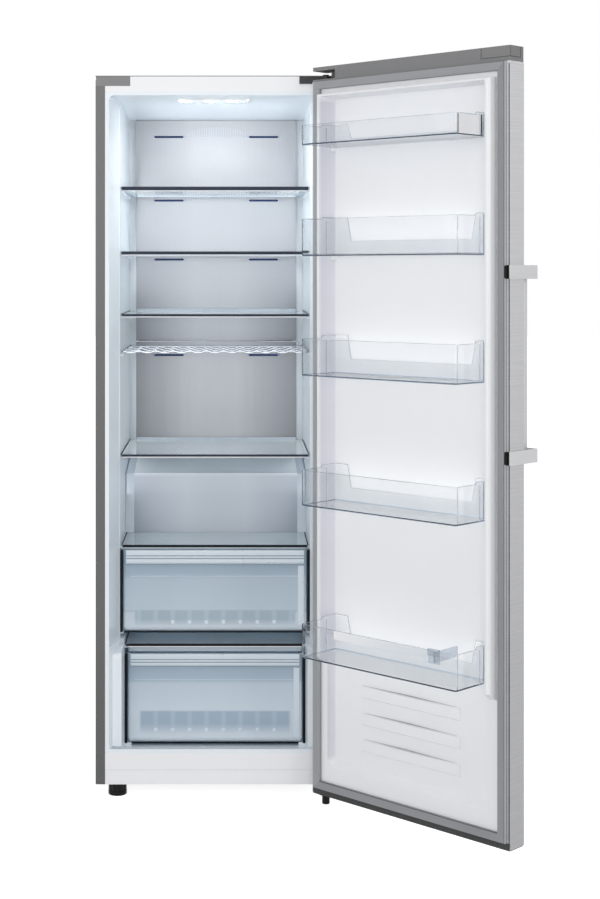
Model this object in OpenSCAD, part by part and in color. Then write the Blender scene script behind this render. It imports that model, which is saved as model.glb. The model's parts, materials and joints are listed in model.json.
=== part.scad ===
// Free-standing larder fridge with its door hinged on the right and standing open.
// The origin lies on the floor under the door's hinge axis. +X is right, +Y is back, +Z is up.
// Cabinet and door are drawn in the cabinet's own coordinates, with X = 0 at its middle,
// Y = 0 on its front and the door shut. on_cabinet() and on_door() bring them into the frame.

/* [Cabinet] */
// Width of the cabinet
cabinet_w = 600; // [560:5:700]
// Depth of the cabinet without its door
cabinet_d = 600; // [590:5:700]
// Height of the cabinet above its base
cabinet_h = 1787; // [1760:5:1900]
// Height of the base above the floor
foot_h = 35; // [34:1:50]
// Thickness of the steel sheet
sheet_t = 1; // [0.8:0.1:1.5]
// Thickness of the top cover
top_t = 2; // [1.5:0.5:4]
// Width of the side sheet's fold on the front
side_fold = 24; // [18:1:30]
// Width of the corner cap on the front's top left
corner_cap_w = 87.4; // [60:1:120]
// Height of the corner cap
corner_cap_h = 26; // [22:1:30]

/* [Inner liner] */
// Thickness of the moulded liner
liner_t = 2; // [1.5:0.5:3]
// Width of the liner's flange around the opening
liner_flange = 10; // [6:1:14]
// Height of the front sill above the base
sill_h = 89; // [80:1:100]
// Height of the liner's floor above the base
floor_h = 59; // [50:1:70]
// Height from the opening's top edge to the cabinet's top
head_h = 49; // [45:1:60]
// Corner radius of the opening's top
opening_r = 12; // [10:1:40]
// How far each wall leans in behind the opening
splay = 17; // [10:1:20]
// Depth over which the walls lean in
splay_d = 125; // [110:1:128]
// Thickness of the foam behind the liner's back wall
back_foam = 52; // [48:1:70]
// How much narrower each side is below the ledge
ledge_w = 11.6; // [9:0.1:13]
// Height of the ledge above the base
ledge_h = 340; // [334:1:343]
// Depth of the compressor hump
hump_d = 203; // [190:1:210]
// Height of the compressor hump above the base
hump_h = 370; // [365:1:380]
// Width of a shelf rib on the wall
rib_w = 8; // [5:1:10]
// Height of a shelf rib
rib_h = 7; // [4:1:10]

/* [Air duct and lamp] */
// Distance from the duct panel's face to the liner's back
duct_depth = 18; // [12:1:30]
// Distance from the cabinet's side to the duct panel
duct_in = 72.4; // [72:0.1:100]
// Height above the base where the duct panel starts
duct_h = 768; // [760:1:775]
// Thickness of the duct panel
duct_t = 2; // [1:0.5:3]
// Length of an air slot
slot_w = 85.3; // [40:1:100]
// Height of an air slot
slot_h = 6; // [4:0.5:10]
// Distance from the middle to the inner end of a slot
slot_x = 91.7; // [60:1:110]
// Heights of the air slots, as shares of the height from the duct panel's foot to the opening's top
slot_shares = [0.9358, 0.7495, 0.5768, 0.2969]; // [0.1:0.0001:0.95]
// Distance from the cabinet's side to the evaporator cover
cover_in = 77.5; // [75:0.5:100]
// Height above the base of the evaporator cover's front edge
cover_h = 743; // [735:1:750]
// Thickness of the evaporator cover
cover_t = 2; // [1.5:0.5:3]
// Width of the ceiling lamp
lamp_w = 180; // [120:5:220]
// Distance from the front to the lamp
lamp_y = 50; // [40:1:60]
// Depth of the lamp
lamp_d = 105; // [60:1:110]

/* [Shelves] */
// Heights of the four shelves' tops, as shares of the height from the duct panel's foot up
shelf_shares = [0.767, 0.5938, 0.4268, 0.0505]; // [0.04:0.0001:0.8]
// Distance from the cabinet's front to the shelves
shelf_y = 130; // [128:1:150]
// Gap from a shelf's back edge to the duct panel
shelf_back_gap = 9; // [4:1:20]
// Gap between a shelf's edge and the wall
shelf_side_gap = 1.5; // [1:0.5:3]
// Thickness of the glass
glass_t = 5; // [4:0.5:6]
// Height of the trim under the glass
trim_h = 3; // [2:0.5:5]
// Width of the trim under the glass
trim_w = 12; // [8:1:20]
// Height of the bottle rack's wires, as a share of the same height
rack_share = 0.3237; // [0.3:0.0001:0.34]
// Radius of the bottle rack's wires
wire_r = 2.2; // [1.5:0.1:3]
// Distance between the troughs that hold the bottles
wave_pitch = 44; // [36:1:60]
// Height of the waves
wave_h = 6; // [4:0.5:10]
// Height of the rack's back rail above its wires
rack_rail_h = 15; // [8:1:30]

/* [Drawers] */
// Height of the upper drawer's bottom above the base
upper_drawer_level = 357.5; // [356:0.5:360]
// Height of the upper drawer
upper_drawer_h = 212; // [190:1:213]
// Height of the upper cover's top above the base
upper_cover_level = 582; // [580:1:590]
// Height of the lower drawer's bottom above the base
lower_drawer_level = 68.4; // [66:0.1:74]
// Height of the lower drawer
lower_drawer_h = 232; // [210:1:234]
// Height of the lower cover's top above the base
lower_cover_level = 325; // [323:1:328]
// Gap between a drawer and the wall on each side
drawer_side_gap = 7.3; // [5:0.1:8]
// Thickness of a drawer's wall
drawer_t = 2.5; // [2:0.1:4]
// Radius of a drawer's upright edges
drawer_r = 8; // [5:1:15]
// How far the grip stands out of a drawer's front
grip_d = 10; // [6:1:12]
// Height of the grip
grip_h = 31; // [20:1:40]

/* [Door] */
// Thickness of the door
door_t = 53; // [48:1:60]
// Gap from the cabinet's front to the door
door_gap = 11; // [10:0.5:12]
// How far the door's edge lies inside the cabinet's edge
door_inset = 2; // [1:0.5:3]
// How far the door reaches below the cabinet's base
door_drop = 6; // [3:0.5:6]
// How far the door rises above the cabinet's top
door_rise = 14; // [10:1:18]
// Angle of the open door
door_open = 135; // [90:1:135]
// Distance from the cabinet's right side to the hinge axis
axis_in = 21.5; // [20:0.5:24]
// Distance from the door's inner face to the hinge axis
axis_deep = 28; // [27:0.5:30]
// Radius of the hinge pins
pin_r = 4; // [3:0.5:5]
// Radial clearance of a pin in its bore
pin_fit = 0.05; // [0.02:0.01:0.09]
// Height of the door's top cap
door_cap_h = 35; // [33:1:40]
// Height of the door's bottom cap
door_base_h = 17; // [14:1:24]
// Width of the steel fold on the door's inner face
door_fold = 10; // [8:1:12]
// Width of the gasket
gasket_w = 20; // [16:1:22]
// Clearance between the shut gasket and the cabinet
gasket_gap = 1; // [0.8:0.1:1.5]
// Depth of the recess in the door's liner
recess_d = 15; // [10:1:20]
// Height of the liner's upright dykes
dyke_d = 30; // [24:1:31]
// Distance from the cabinet's side to a dyke's outer edge
dyke_in = 39.5; // [39:0.5:50]
// Width of a dyke's crest
dyke_w = 11.5; // [8:0.5:14]

/* [Door bins] */
// Heights of the five bins' bottoms, as shares of the height from the sill to the opening's top
bin_shares = [0.9151, 0.7526, 0.5773, 0.3869, 0.1637]; // [0.15:0.0001:0.92]
// Heights of the five bins
bin_heights = [49, 90, 90, 87, 83]; // [45:1:100]
// Depth of a bin
bin_d = 128; // [110:1:132]
// Thickness of a bin's wall
bin_t = 2.5; // [2:0.1:3]
// Gap between a bin and the dyke
bin_gap = 2.5; // [2:0.1:4]
// Radius of a bin's front corners
bin_r = 7; // [4:1:30]
// Height of the low middle of a bin's back wall, as a share of the bin's height
bin_back = 0.42; // [0.3:0.01:0.5]
// Depth of the raised tabs at the back of a bin's ends
bin_tab_d = 50; // [30:1:60]

/* [Handle] */
// Height of the lower bracket's middle above the base
handle_level = 874; // [800:1:950]
// Distance between the brackets' middles
handle_l = 418; // [300:1:500]
// Height of a bracket
bracket_h = 31; // [24:1:40]
// Thickness of a bracket
bracket_t = 5; // [3:0.5:6]
// How far the handle stands out of the door's front
handle_out = 49; // [40:1:60]
// Width of the grip bar
bar_w = 24; // [16:1:30]
// Depth of the grip bar
bar_d = 14; // [10:1:18]

/* [Machine compartment] */
// Depth of the machine compartment
machine_d = 205; // [190:1:208]
// Height of the machine compartment
machine_h = 300; // [290:1:305]
// Radius of the compressor's shell
pot_r = 78; // [60:1:85]
// Height of the compressor's shell
pot_h = 165; // [140:1:180]
// Radius of a rear roller
roller_r = 16; // [12:0.5:16]
// Width of a rear roller
roller_w = 24; // [16:1:30]
// Radius of the left foot
foot_r = 23.5; // [15:0.5:30]
// Radius of the foot under the hinge
hinge_foot_r = 9.5; // [8:0.5:12]

/* [Hidden] */
$fn = 48;
seat = 0.3;
hw = cabinet_w / 2;
base = foot_h;
top = base + cabinet_h;
roof = top - top_t;
sill = base + sill_h;
floor_z = base + floor_h;
head = top - head_h;
ceiling = head - 3;
ceiling_back = head - 15;
flat_y = lamp_y + lamp_d + 15;
opening_hw = hw - side_fold - liner_flange;
wall_hw = opening_hw - splay - 2;
low_hw = wall_hw - ledge_w;
back_y = cabinet_d - back_foam;
ledge = base + ledge_h;
hump = base + hump_h;
hump_y = back_y - hump_d;
duct_y = back_y - duct_depth;
duct_z = base + duct_h;
cover_z = base + cover_h;
rail_d = 18;
plinth_h = 37;
shelf_hw = wall_hw - shelf_side_gap;
shelf_back = duct_y - shelf_back_gap;
rack_z = duct_z + rack_share * (head - duct_z);
shelf_levels = [for (share = shelf_shares) duct_z + share * (head - duct_z)];
slot_levels = [for (share = slot_shares) duct_z + share * (head - duct_z)];
bin_levels = [for (share = bin_shares) sill + share * (head - sill)];
duct_hw = hw - duct_in;
cover_hw = hw - cover_in;
drawer_back = hump_y - 3;
axis_x = hw - axis_in;
axis_y = -door_gap - axis_deep;
door_hw = hw - door_inset;
door_in = -door_gap;
door_out = -door_gap - door_t;
door_z0 = base - door_drop;
door_z1 = top + door_rise;
skin_z0 = door_z0 + door_base_h;
skin_z1 = door_z1 - door_cap_h;
recess_y = door_in - recess_d;
dyke_y = door_in + dyke_d;
recess_z0 = sill - 2;
recess_z1 = head - 19;
dyke_z0 = ledge + 5;
dyke_z1 = head - 8;
dyke_hw = hw - dyke_in;
crest_hw = dyke_hw - dyke_w;
recess_hw = crest_hw - 13;
bin_hw = recess_hw - bin_gap;
bin_y0 = recess_y + 1;
bin_y1 = bin_y0 + bin_d;
arm_z = skin_z1 + 7;
arm_t = 5;
arm_hw = 13;
notch_z0 = skin_z1 + 4;
notch_z1 = skin_z1 + 26;
notch_w = 74;
plate_t = 5;
plate_z = door_z0 - seat - plate_t;
low_pin_z = skin_z0 + 6;
high_pin_z = skin_z1 - 18;
bar_y = door_out - handle_out;
bar_x = -door_hw + 20;

// Frames
module on_cabinet() translate([-axis_x, -axis_y, 0]) children();
module on_door() rotate([0, 0, door_open]) on_cabinet() children();

// Basic forms: a box between limits, and outlines drawn out along Z, X or Y
module box(x0, x1, y0, y1, z0, z1) translate([x0, y0, z0]) cube([x1 - x0, y1 - y0, z1 - z0]);
module plan(z0, z1) translate([0, 0, z0]) linear_extrude(z1 - z0) children();
module side(x0, x1) translate([x0, 0, 0]) rotate([90, 0, 90]) linear_extrude(x1 - x0) children();
module front(y0, y1) translate([0, y1, 0]) rotate([90, 0, 0]) linear_extrude(y1 - y0) children();
module both_sides() {
    children();
    mirror([1, 0, 0]) children();
}
function mirrored(points) = concat(points,
    [for (i = [len(points) - 1 : -1 : 0]) [-points[i][0], points[i][1]]]);
function arc(x, y, r, a0, a1, n = 6) =
    [for (i = [0 : n]) [x + r * cos(a0 + (a1 - a0) * i / n), y + r * sin(a0 + (a1 - a0) * i / n)]];
function rounded(x0, x1, y0, y1, r) = concat(arc(x1 - r, y1 - r, r, 0, 90),
    arc(x0 + r, y1 - r, r, 90, 180), arc(x0 + r, y0 + r, r, 180, 270), arc(x1 - r, y0 + r, r, 270, 360));

// The room inside the liner, grown by g on every wall; with lead it also runs out of the front
module room(g, lead = 0) {
    mouth = lead > 0 ? [[opening_hw + g, -lead]] : [];
    intersection() {
        plan(base, top) polygon(mirrored(concat(mouth, [[opening_hw + g, 0],
            [opening_hw - splay + g, splay_d], [wall_hw + g, splay_d + 3], [wall_hw + g, back_y + g]])));
        side(-hw, hw) polygon(concat([[-lead, ledge - g], [hump_y + g, ledge - g], [hump_y + g, hump - g],
            [back_y + g, hump - g], [back_y + g, ceiling_back + g], [flat_y, ceiling + g],
            [30, ceiling + g], [0, head + g]], lead > 0 ? [[-lead, head + g]] : []));
        front(-lead, cabinet_d) polygon(concat([[-opening_hw - g, base], [opening_hw + g, base]],
            arc(opening_hw - opening_r, head - opening_r, opening_r + g, 0, 90),
            arc(opening_r - opening_hw, head - opening_r, opening_r + g, 90, 180)));
    }
    intersection() {
        plan(base, ledge + 5) polygon(mirrored(concat(mouth, [[opening_hw + g, 0],
            [opening_hw - 8 + g, 25], [low_hw + g, splay_d - 7], [low_hw + g, hump_y + g]])));
        side(-hw, hw) polygon(concat(lead > 0 ? [[-lead, sill - g]] : [], [[0, sill - g],
            [35, floor_z - g], [hump_y + g, floor_z - g], [hump_y + g, ledge + 5], [-lead, ledge + 5]]));
    }
}

// A rib on each wall at half-width wall, with its flat top at z, from y0 to y1
module wall_ribs(wall, z, y0, y1) {
    both_sides() side(wall - rib_w, wall + liner_t / 2)
        polygon([[y0, z - 2], [y0 + 5, z - rib_h], [y1, z - rib_h], [y1, z], [y0 + 2, z]]);
}

runner_w = 18;
module inner_liner() color("white") on_cabinet() {
    difference() {
        union() {
            room(liner_t);
            front(0, liner_t) polygon(rounded(-opening_hw - liner_flange, opening_hw + liner_flange,
                sill - liner_flange, head + liner_flange, 4));
        }
        room(0, 1);
        lamp_block(4, ceiling - 1, ceiling + 5);
    }
    for (level = shelf_levels)
        wall_ribs(wall_hw, level - glass_t, shelf_y + 6, shelf_back - 4);
    wall_ribs(wall_hw, rack_z - wire_r - seat, shelf_y + 6, shelf_back - 4);
    wall_ribs(wall_hw, base + upper_cover_level - glass_t, shelf_y + 4, drawer_back - 4);
    wall_ribs(wall_hw, base + upper_drawer_level - seat, shelf_y + 4, drawer_back - 4);
    wall_ribs(low_hw, base + lower_cover_level - glass_t, shelf_y + 4, drawer_back - 4);
    both_sides() box(low_hw - runner_w, low_hw + liner_t / 2, shelf_y + 2, drawer_back - 25, floor_z - 1,
        base + lower_drawer_level - seat);
}

// Outer sheets
module side_sheet() plan(base, roof) polygon([[-hw, 0], [side_fold - hw, 0], [side_fold - hw, sheet_t],
    [sheet_t - hw, sheet_t], [sheet_t - hw, cabinet_d], [-hw, cabinet_d]]);
module side_left() color("silver") on_cabinet() difference() {
    side_sheet();
    corner_cap_room();
}
module side_right() color("silver") on_cabinet() mirror([1, 0, 0]) side_sheet();
module top_cover() color("gainsboro") on_cabinet() union() {
    box(-hw, hw, 0, cabinet_d, roof, top);
    box(-hw + 40, hw - 40, 60, cabinet_d - 40, top - top_t / 2, top + 1.5);
}
module back_sheet() color("gray") on_cabinet() union() {
    box(sheet_t - hw, hw - sheet_t, cabinet_d - sheet_t, cabinet_d, base + machine_h + 15, roof);
    both_sides() box(120, 128, cabinet_d - sheet_t / 2, cabinet_d + 2, base + machine_h + 60, roof - 60);
}

// Front trim of the cabinet
cap_z = top - corner_cap_h;
module corner_cap_room() box(-hw - 1, corner_cap_w - hw, -1, rail_d, cap_z, roof + 1);
module top_rail() color("white") on_cabinet() difference() {
    box(side_fold - hw, hw - side_fold, 0, rail_d, head + liner_flange, roof);
    corner_cap_room();
    room(liner_t, 1);
}
module corner_cap() color("gray") on_cabinet()
    front(-0.6, rail_d) polygon([[-hw, cap_z], [corner_cap_w - hw, cap_z], [corner_cap_w - hw, roof],
        [4 - hw, roof], [-hw, roof - 11]]);
module bottom_rail() color("white") on_cabinet() difference() {
    box(side_fold - hw, hw - side_fold, 0, rail_d, base + plinth_h, sill - liner_flange);
    room(liner_t, 1);
}
module plinth() color("whitesmoke") on_cabinet()
    side(side_fold - hw, hw - side_fold) polygon([[0.5, base], [0.5, base + plinth_h - 0.8],
        [1.5, base + plinth_h], [rail_d, base + plinth_h], [rail_d, base]]);

// Base tray with the slanted wall of the machine compartment and the roller forks
machine_y = cabinet_d - machine_d;
machine_hw = hw - sheet_t - 20;
machine_top = base + machine_h + 15;
module machine_wall(t) polygon([[machine_y - t, base + 2], [machine_y - t, machine_top - 35],
    [machine_y + 35 - t, machine_top + t], [cabinet_d, machine_top + t], [cabinet_d, base + 2]]);
roller_y = cabinet_d - 40;
roller_x = hw - 50;
module base_tray() color("dimgray") on_cabinet() {
    difference() {
        union() {
            box(sheet_t - hw, hw - sheet_t, rail_d, cabinet_d - sheet_t, base, base + 2);
            side(-machine_hw, machine_hw) difference() {
                machine_wall(1.5);
                machine_wall(0);
            }
        }
        translate([-foot_x, foot_y, base - 1]) cylinder(r = foot_stem_r + 0.1, h = 5);
        box(-machine_hw - 1, machine_hw + 1, cabinet_d - sheet_t - 1, cabinet_d + 1, base + 3,
            machine_top + 3);
    }
    both_sides() for (s = [-1, 1])
        side(roller_x + s * (roller_w / 2 + 2) - 1, roller_x + s * (roller_w / 2 + 2) + 1)
            polygon([[roller_y - 22, base + 1], [roller_y + 22, base + 1],
                [roller_y + 7, roller_r - 7], [roller_y - 7, roller_r - 7]]);
    both_sides() translate([roller_x - roller_w / 2 - 4, roller_y, roller_r]) rotate([0, 90, 0])
        cylinder(r = 4, h = roller_w + 8);
}
module roller(x) color("black") on_cabinet() translate([x, roller_y, roller_r]) rotate([0, 90, 0])
    difference() {
        union() {
            cylinder(r = roller_r, h = roller_w - 6, center = true);
            cylinder(r = 8, h = roller_w, center = true);
        }
        cylinder(r = 4 + pin_fit, h = roller_w + 2, center = true);
    }
module roller_left() roller(-roller_x);
module roller_right() roller(roller_x);

// Feet: a broad one at the left, and a slim one on a stud under the door's hinge
foot_x = hw - 53;
foot_y = 40;
foot_stem_r = 5;
module foot_left() color("black") on_cabinet() translate([-foot_x, foot_y, 0]) rotate_extrude($fn = 64)
    polygon([[0, 0], [foot_r - 1.5, 0], [foot_r, 1.5], [foot_r, 10], [foot_r - 7, 14],
        [foot_r - 7, base - 3], [foot_stem_r, base - 3], [foot_stem_r, base + 22], [0, base + 22]]);
stud_h = 9;
module foot_hinge() color("black") on_cabinet() translate([axis_x, axis_y, 0]) difference() {
    rotate_extrude($fn = 64) polygon([[0, 0], [hinge_foot_r - 1, 0], [hinge_foot_r, 1],
        [hinge_foot_r, plate_z - seat], [0, plate_z - seat]]);
    translate([0, 0, plate_z - stud_h - 1]) cylinder(r = pin_r + pin_fit, h = stud_h + 2);
}

// Hinges, with their pins on the door's axis
module lower_hinge() color("dimgray") on_cabinet() union() {
    translate([axis_x, axis_y, plate_z]) cylinder(r = 18, h = plate_t);
    box(axis_x - 18, axis_x + 18, axis_y, -3, plate_z, plate_z + plate_t);
    box(hw - 52, hw - 1, -3, 0, plate_z, base + 9);
    translate([axis_x, axis_y, plate_z - stud_h]) cylinder(r = pin_r, h = low_pin_z - plate_z + stud_h);
}
module upper_hinge() color("dimgray") on_cabinet() union() {
    box(hw - 86, hw, -3, 0, roof - 19, roof);
    box(axis_x - arm_hw, axis_x + arm_hw, axis_y, -2, arm_z, arm_z + arm_t);
    translate([axis_x, axis_y, arm_z]) cylinder(r = arm_hw, h = arm_t);
    translate([axis_x, axis_y, high_pin_z + 1]) cylinder(r = pin_r, h = arm_z - high_pin_z);
    translate([axis_x, axis_y, arm_z]) cylinder(r = 8, h = arm_t + 6);
}

// Foam of the cabinet, between the sheets and the liner
module cabinet_insulation() color("khaki") on_cabinet() difference() {
    box(sheet_t - hw, hw - sheet_t, liner_t, cabinet_d - sheet_t, base + 2, roof);
    room(liner_t, 1);
    box(-hw, hw, -1, rail_d, cap_z, roof + 1);
    box(side_fold - hw, hw - side_fold, -1, rail_d, head + liner_flange, roof + 1);
    box(-hw, hw, -1, rail_d, base, sill - liner_flange);
    side(-machine_hw, machine_hw) machine_wall(1.5);
    lamp_block(2, ceiling - 1, ceiling + 18);
    translate([-foot_x, foot_y, base]) cylinder(r = foot_stem_r + 1, h = 26);
}

// Air duct and evaporator behind the room
module duct_panel() color("lightsteelblue") on_cabinet() difference() {
    union() {
        box(-duct_hw, duct_hw, duct_y, duct_y + duct_t, duct_z, ceiling_back - 0.4);
        both_sides() box(duct_hw - duct_t, duct_hw, duct_y, back_y, duct_z, ceiling_back - 0.4);
    }
    for (level = slot_levels) both_sides()
        box(slot_x, slot_x + slot_w, duct_y - 1, duct_y + duct_t + 1, level - slot_h / 2,
            level + slot_h / 2);
}
module evaporator_cover() color("lightsteelblue") on_cabinet() {
    side(-cover_hw, cover_hw) polygon([[hump_y, hump], [hump_y, cover_z], [duct_y, duct_z],
        [duct_y, duct_z - cover_t], [hump_y + cover_t, cover_z - cover_t], [hump_y + cover_t, hump]]);
    both_sides() side(cover_hw - cover_t, cover_hw) polygon([[hump_y + 1, hump],
        [hump_y + 1, cover_z - 1], [duct_y, duct_z - 1], [back_y, duct_z - 1], [back_y, hump]]);
    both_sides() side(cover_hw - cover_t, wall_hw - seat) cover_flange();
}
// The flange that closes the cover to the liner's wall, a step behind the cover's face
cover_step = 1.5;
module cover_flange() {
    face = hump_y + cover_step;
    slope_z = cover_z - cover_step;
    rear_z = duct_z - cover_step;
    polygon([[face, hump], [face, slope_z], [duct_y, rear_z], [back_y, rear_z], [back_y, rear_z - cover_t],
        [duct_y, rear_z - cover_t], [face + cover_t, slope_z - cover_t], [face + cover_t, hump]]);
}
coil_r = 4.5;
coil_h = 220;
coil_d = 70;
coil_z = hump + 10;
coil_hw = 170;
module evaporator() color("silver") on_cabinet() {
    for (x = [-coil_hw : 20 : coil_hw])
        box(x - 0.5, x + 0.5, back_y - coil_d, back_y, coil_z, coil_z + coil_h);
    for (k = [1 : 2 : 9]) translate([-coil_hw - 12, back_y - coil_d / 2, coil_z + k * coil_h / 10])
        rotate([0, 90, 0]) cylinder(r = coil_r, h = 2 * coil_hw + 24);
}
fan_r = 45;
fan_y = back_y - 60;
fan_z = coil_z + coil_h + 70;
module fan_shroud() color("lightgray") on_cabinet() {
    difference() {
        box(-fan_r - 35, fan_r + 35, fan_y, fan_y + 18, fan_z - fan_r - 17, fan_z + fan_r + 11);
        translate([0, fan_y - 1, fan_z]) rotate([-90, 0, 0]) cylinder(r = fan_r + 3, h = 20);
    }
    box(-fan_r - 15, fan_r + 15, fan_y + 14, fan_y + 18, fan_z - 6, fan_z + 6);
    box(-6, 6, fan_y + 14, back_y, fan_z - 6, fan_z + 6);
    translate([0, fan_y - 4, fan_z]) rotate([-90, 0, 0]) cylinder(r = 3, h = 20);
}
module fan_blades() color("white") on_cabinet() translate([0, fan_y, fan_z]) rotate([-90, 0, 0])
    difference() {
        union() {
            cylinder(r = 14, h = 12);
            for (a = [0 : 360 / 7 : 359]) rotate([0, 0, a]) translate([10, 0, 6]) rotate([35, 0, 0])
                translate([0, -8, -1]) cube([fan_r - 11, 16, 2]);
        }
        translate([0, 0, -1]) cylinder(r = 3 + pin_fit, h = 20);
    }

// Ceiling lamp: a block whose sides lie g inside the lamp's outline, and its two parts
lamp_rim = 7;
module lamp_block(g, z0, z1) box(g - lamp_w / 2, lamp_w / 2 - g, lamp_y + g, lamp_y + lamp_d - g, z0, z1);
module lamp_housing() color("white") on_cabinet() difference() {
    union() {
        lamp_block(0, ceiling - 3, ceiling);
        lamp_block(4.5, ceiling - 1, ceiling + 16);
    }
    lamp_block(lamp_rim, ceiling - 4, ceiling + 14);
}
module lamp_lens() color("azure") on_cabinet() lamp_block(lamp_rim, ceiling - 4.5, ceiling - 2);

// Glass shelves: a pane on the wall ribs, and a trim frame under its edges
module pane(half_w, y1, z) plan(z - glass_t, z) polygon(rounded(-half_w, half_w, shelf_y, y1, 4));
module trim_frame(half_w, y1, z, h) plan(z - h, z) difference() {
    polygon(rounded(-half_w, half_w, shelf_y + 0.5, y1, 3));
    polygon(rounded(trim_w - half_w, half_w - trim_w, shelf_y + trim_w, y1 - trim_w, 3));
}
module shelf_glass(i) color("paleturquoise") on_cabinet()
    pane(shelf_hw, shelf_back, shelf_levels[i]);
module shelf_trim(i) color("white") on_cabinet() {
    z = shelf_levels[i];
    trim_frame(wall_hw - rib_w - 2, shelf_back + 3, z - glass_t, trim_h);
    box(20 - shelf_hw, shelf_hw - 20, shelf_back, shelf_back + 3, z - glass_t - trim_h, z + 6);
}
module shelf_glass_1() shelf_glass(0);
module shelf_glass_2() shelf_glass(1);
module shelf_glass_3() shelf_glass(2);
module shelf_glass_4() shelf_glass(3);
module shelf_trim_1() shelf_trim(0);
module shelf_trim_2() shelf_trim(1);
module shelf_trim_3() shelf_trim(2);
module shelf_trim_4() shelf_trim(3);

// Bottle rack: wires swept along points, with rings of wire_sides corners standing square to X or Y
wire_sides = 8;
wave_steps = 6;
function ring(p, across_y) = [for (k = [0 : wire_sides - 1]) let (a = 360 * (k + 0.5) / wire_sides)
    across_y ? [p[0], p[1] + wire_r * cos(a), p[2] + wire_r * sin(a)]
        : [p[0] + wire_r * cos(a), p[1], p[2] + wire_r * sin(a)]];
module wire(points, across_y = true) {
    n = len(points);
    rings = [for (p = points) for (q = ring(p, across_y)) q];
    walls = [for (i = [0 : n - 2]) for (k = [0 : wire_sides - 1]) let (m = (k + 1) % wire_sides)
        [i * wire_sides + k, i * wire_sides + m, (i + 1) * wire_sides + m, (i + 1) * wire_sides + k]];
    first = [for (k = [wire_sides - 1 : -1 : 0]) k];
    last = [for (k = [0 : wire_sides - 1]) (n - 1) * wire_sides + k];
    faces = concat([first], walls, [last]);
    polyhedron(rings, across_y ? [for (f = faces) [for (k = [len(f) - 1 : -1 : 0]) f[k]]] : faces);
}
rack_hw = shelf_hw - 2;
rack_back = shelf_back - 8;
wave_rows = [shelf_y + 8, shelf_y + 135, shelf_y + 250];
wave_count = floor((rack_hw - 6) / wave_pitch * wave_steps);
rack_side = [rack_hw - 2, 3];
rail_y = rack_back - 3;
function wave(x) = wave_h * (1 - sqrt(pow(cos(180 * x / wave_pitch), 2) + 0.01));
module wine_rack() color("silver") on_cabinet() {
    for (y = wave_rows) wire(concat([[-rack_side[0], y, rack_z + rack_side[1]]],
        [for (i = [-wave_count : wave_count])
            let (x = i * wave_pitch / wave_steps) [x, y, rack_z + wave(x)]],
        [[rack_side[0], y, rack_z + rack_side[1]]]));
    both_sides() wire([for (y = [shelf_y + 5, rack_back]) [rack_side[0], y, rack_z + rack_side[1]]], false);
    wire([[-rack_hw, rail_y, rack_z], [rack_hw, rail_y, rack_z]]);
    wire([for (p = [[8 - rack_hw, 0], [18 - rack_hw, 0.75], [32 - rack_hw, 1], [rack_hw - 32, 1],
        [rack_hw - 18, 0.75], [rack_hw - 8, 0]]) [p[0], rail_y, rack_z + rack_rail_h * p[1]]]);
    wire([[-rack_hw, shelf_y + 60, rack_z], [rack_hw, shelf_y + 60, rack_z]]);
}

// Covers over the drawers
module crisper_glass_upper() color("paleturquoise") on_cabinet()
    pane(wall_hw - 4, drawer_back, base + upper_cover_level);
module crisper_trim_upper() color("lightsteelblue") on_cabinet()
    trim_frame(wall_hw - rib_w - 2, drawer_back, base + upper_cover_level - glass_t, 6);
module crisper_glass_lower() color("paleturquoise") on_cabinet()
    pane(low_hw - shelf_side_gap, drawer_back, base + lower_cover_level);
module crisper_trim_lower() color("lightsteelblue") on_cabinet()
    trim_frame(low_hw - rib_w - 2, drawer_back, base + lower_cover_level - glass_t, 14);

// Drawers: an open tray with a ribbed grip along its front's top edge and ribs on its floor
rib_pitch = 44;
module drawer(half_w, z, h) difference() {
    union() {
        plan(z, z + h) polygon(rounded(-half_w, half_w, shelf_y, drawer_back, drawer_r));
        side(drawer_r - half_w, half_w - drawer_r) polygon([[shelf_y + 1, z + h],
            [shelf_y - grip_d + 2, z + h], [shelf_y - grip_d, z + h - 2],
            [shelf_y - grip_d, z + h - grip_h + 4], [shelf_y - grip_d + 3, z + h - grip_h],
            [shelf_y + 1, z + h - grip_h]]);
    }
    difference() {
        plan(z + drawer_t, z + h + 1) polygon(rounded(-half_w + drawer_t, half_w - drawer_t,
            shelf_y + drawer_t, drawer_back - drawer_t, drawer_r - drawer_t));
        for (x = [-floor((half_w - 20) / rib_pitch) : floor((half_w - 20) / rib_pitch)])
            box(x * rib_pitch - 1.5, x * rib_pitch + 1.5, shelf_y, drawer_back, z, z + drawer_t + 2);
    }
    for (k = [1 : 4]) box(-half_w, half_w, shelf_y - grip_d - 1, shelf_y - grip_d + 1,
        z + h - grip_h + 5 * k, z + h - grip_h + 5 * k + 2);
    side(-half_w + 2 * drawer_r, half_w - 2 * drawer_r) polygon([[shelf_y - grip_d + 4, z + h - grip_h - 1],
        [shelf_y - grip_d + 4, z + h - 5], [shelf_y - 2, z + h - 5], [shelf_y - 2, z + h - grip_h - 1]]);
}
module drawer_upper() color("lightsteelblue") on_cabinet()
    drawer(wall_hw - drawer_side_gap, base + upper_drawer_level, upper_drawer_h);
module drawer_lower() color("lightsteelblue") on_cabinet()
    drawer(low_hw - drawer_side_gap, base + lower_drawer_level, lower_drawer_h);

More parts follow.
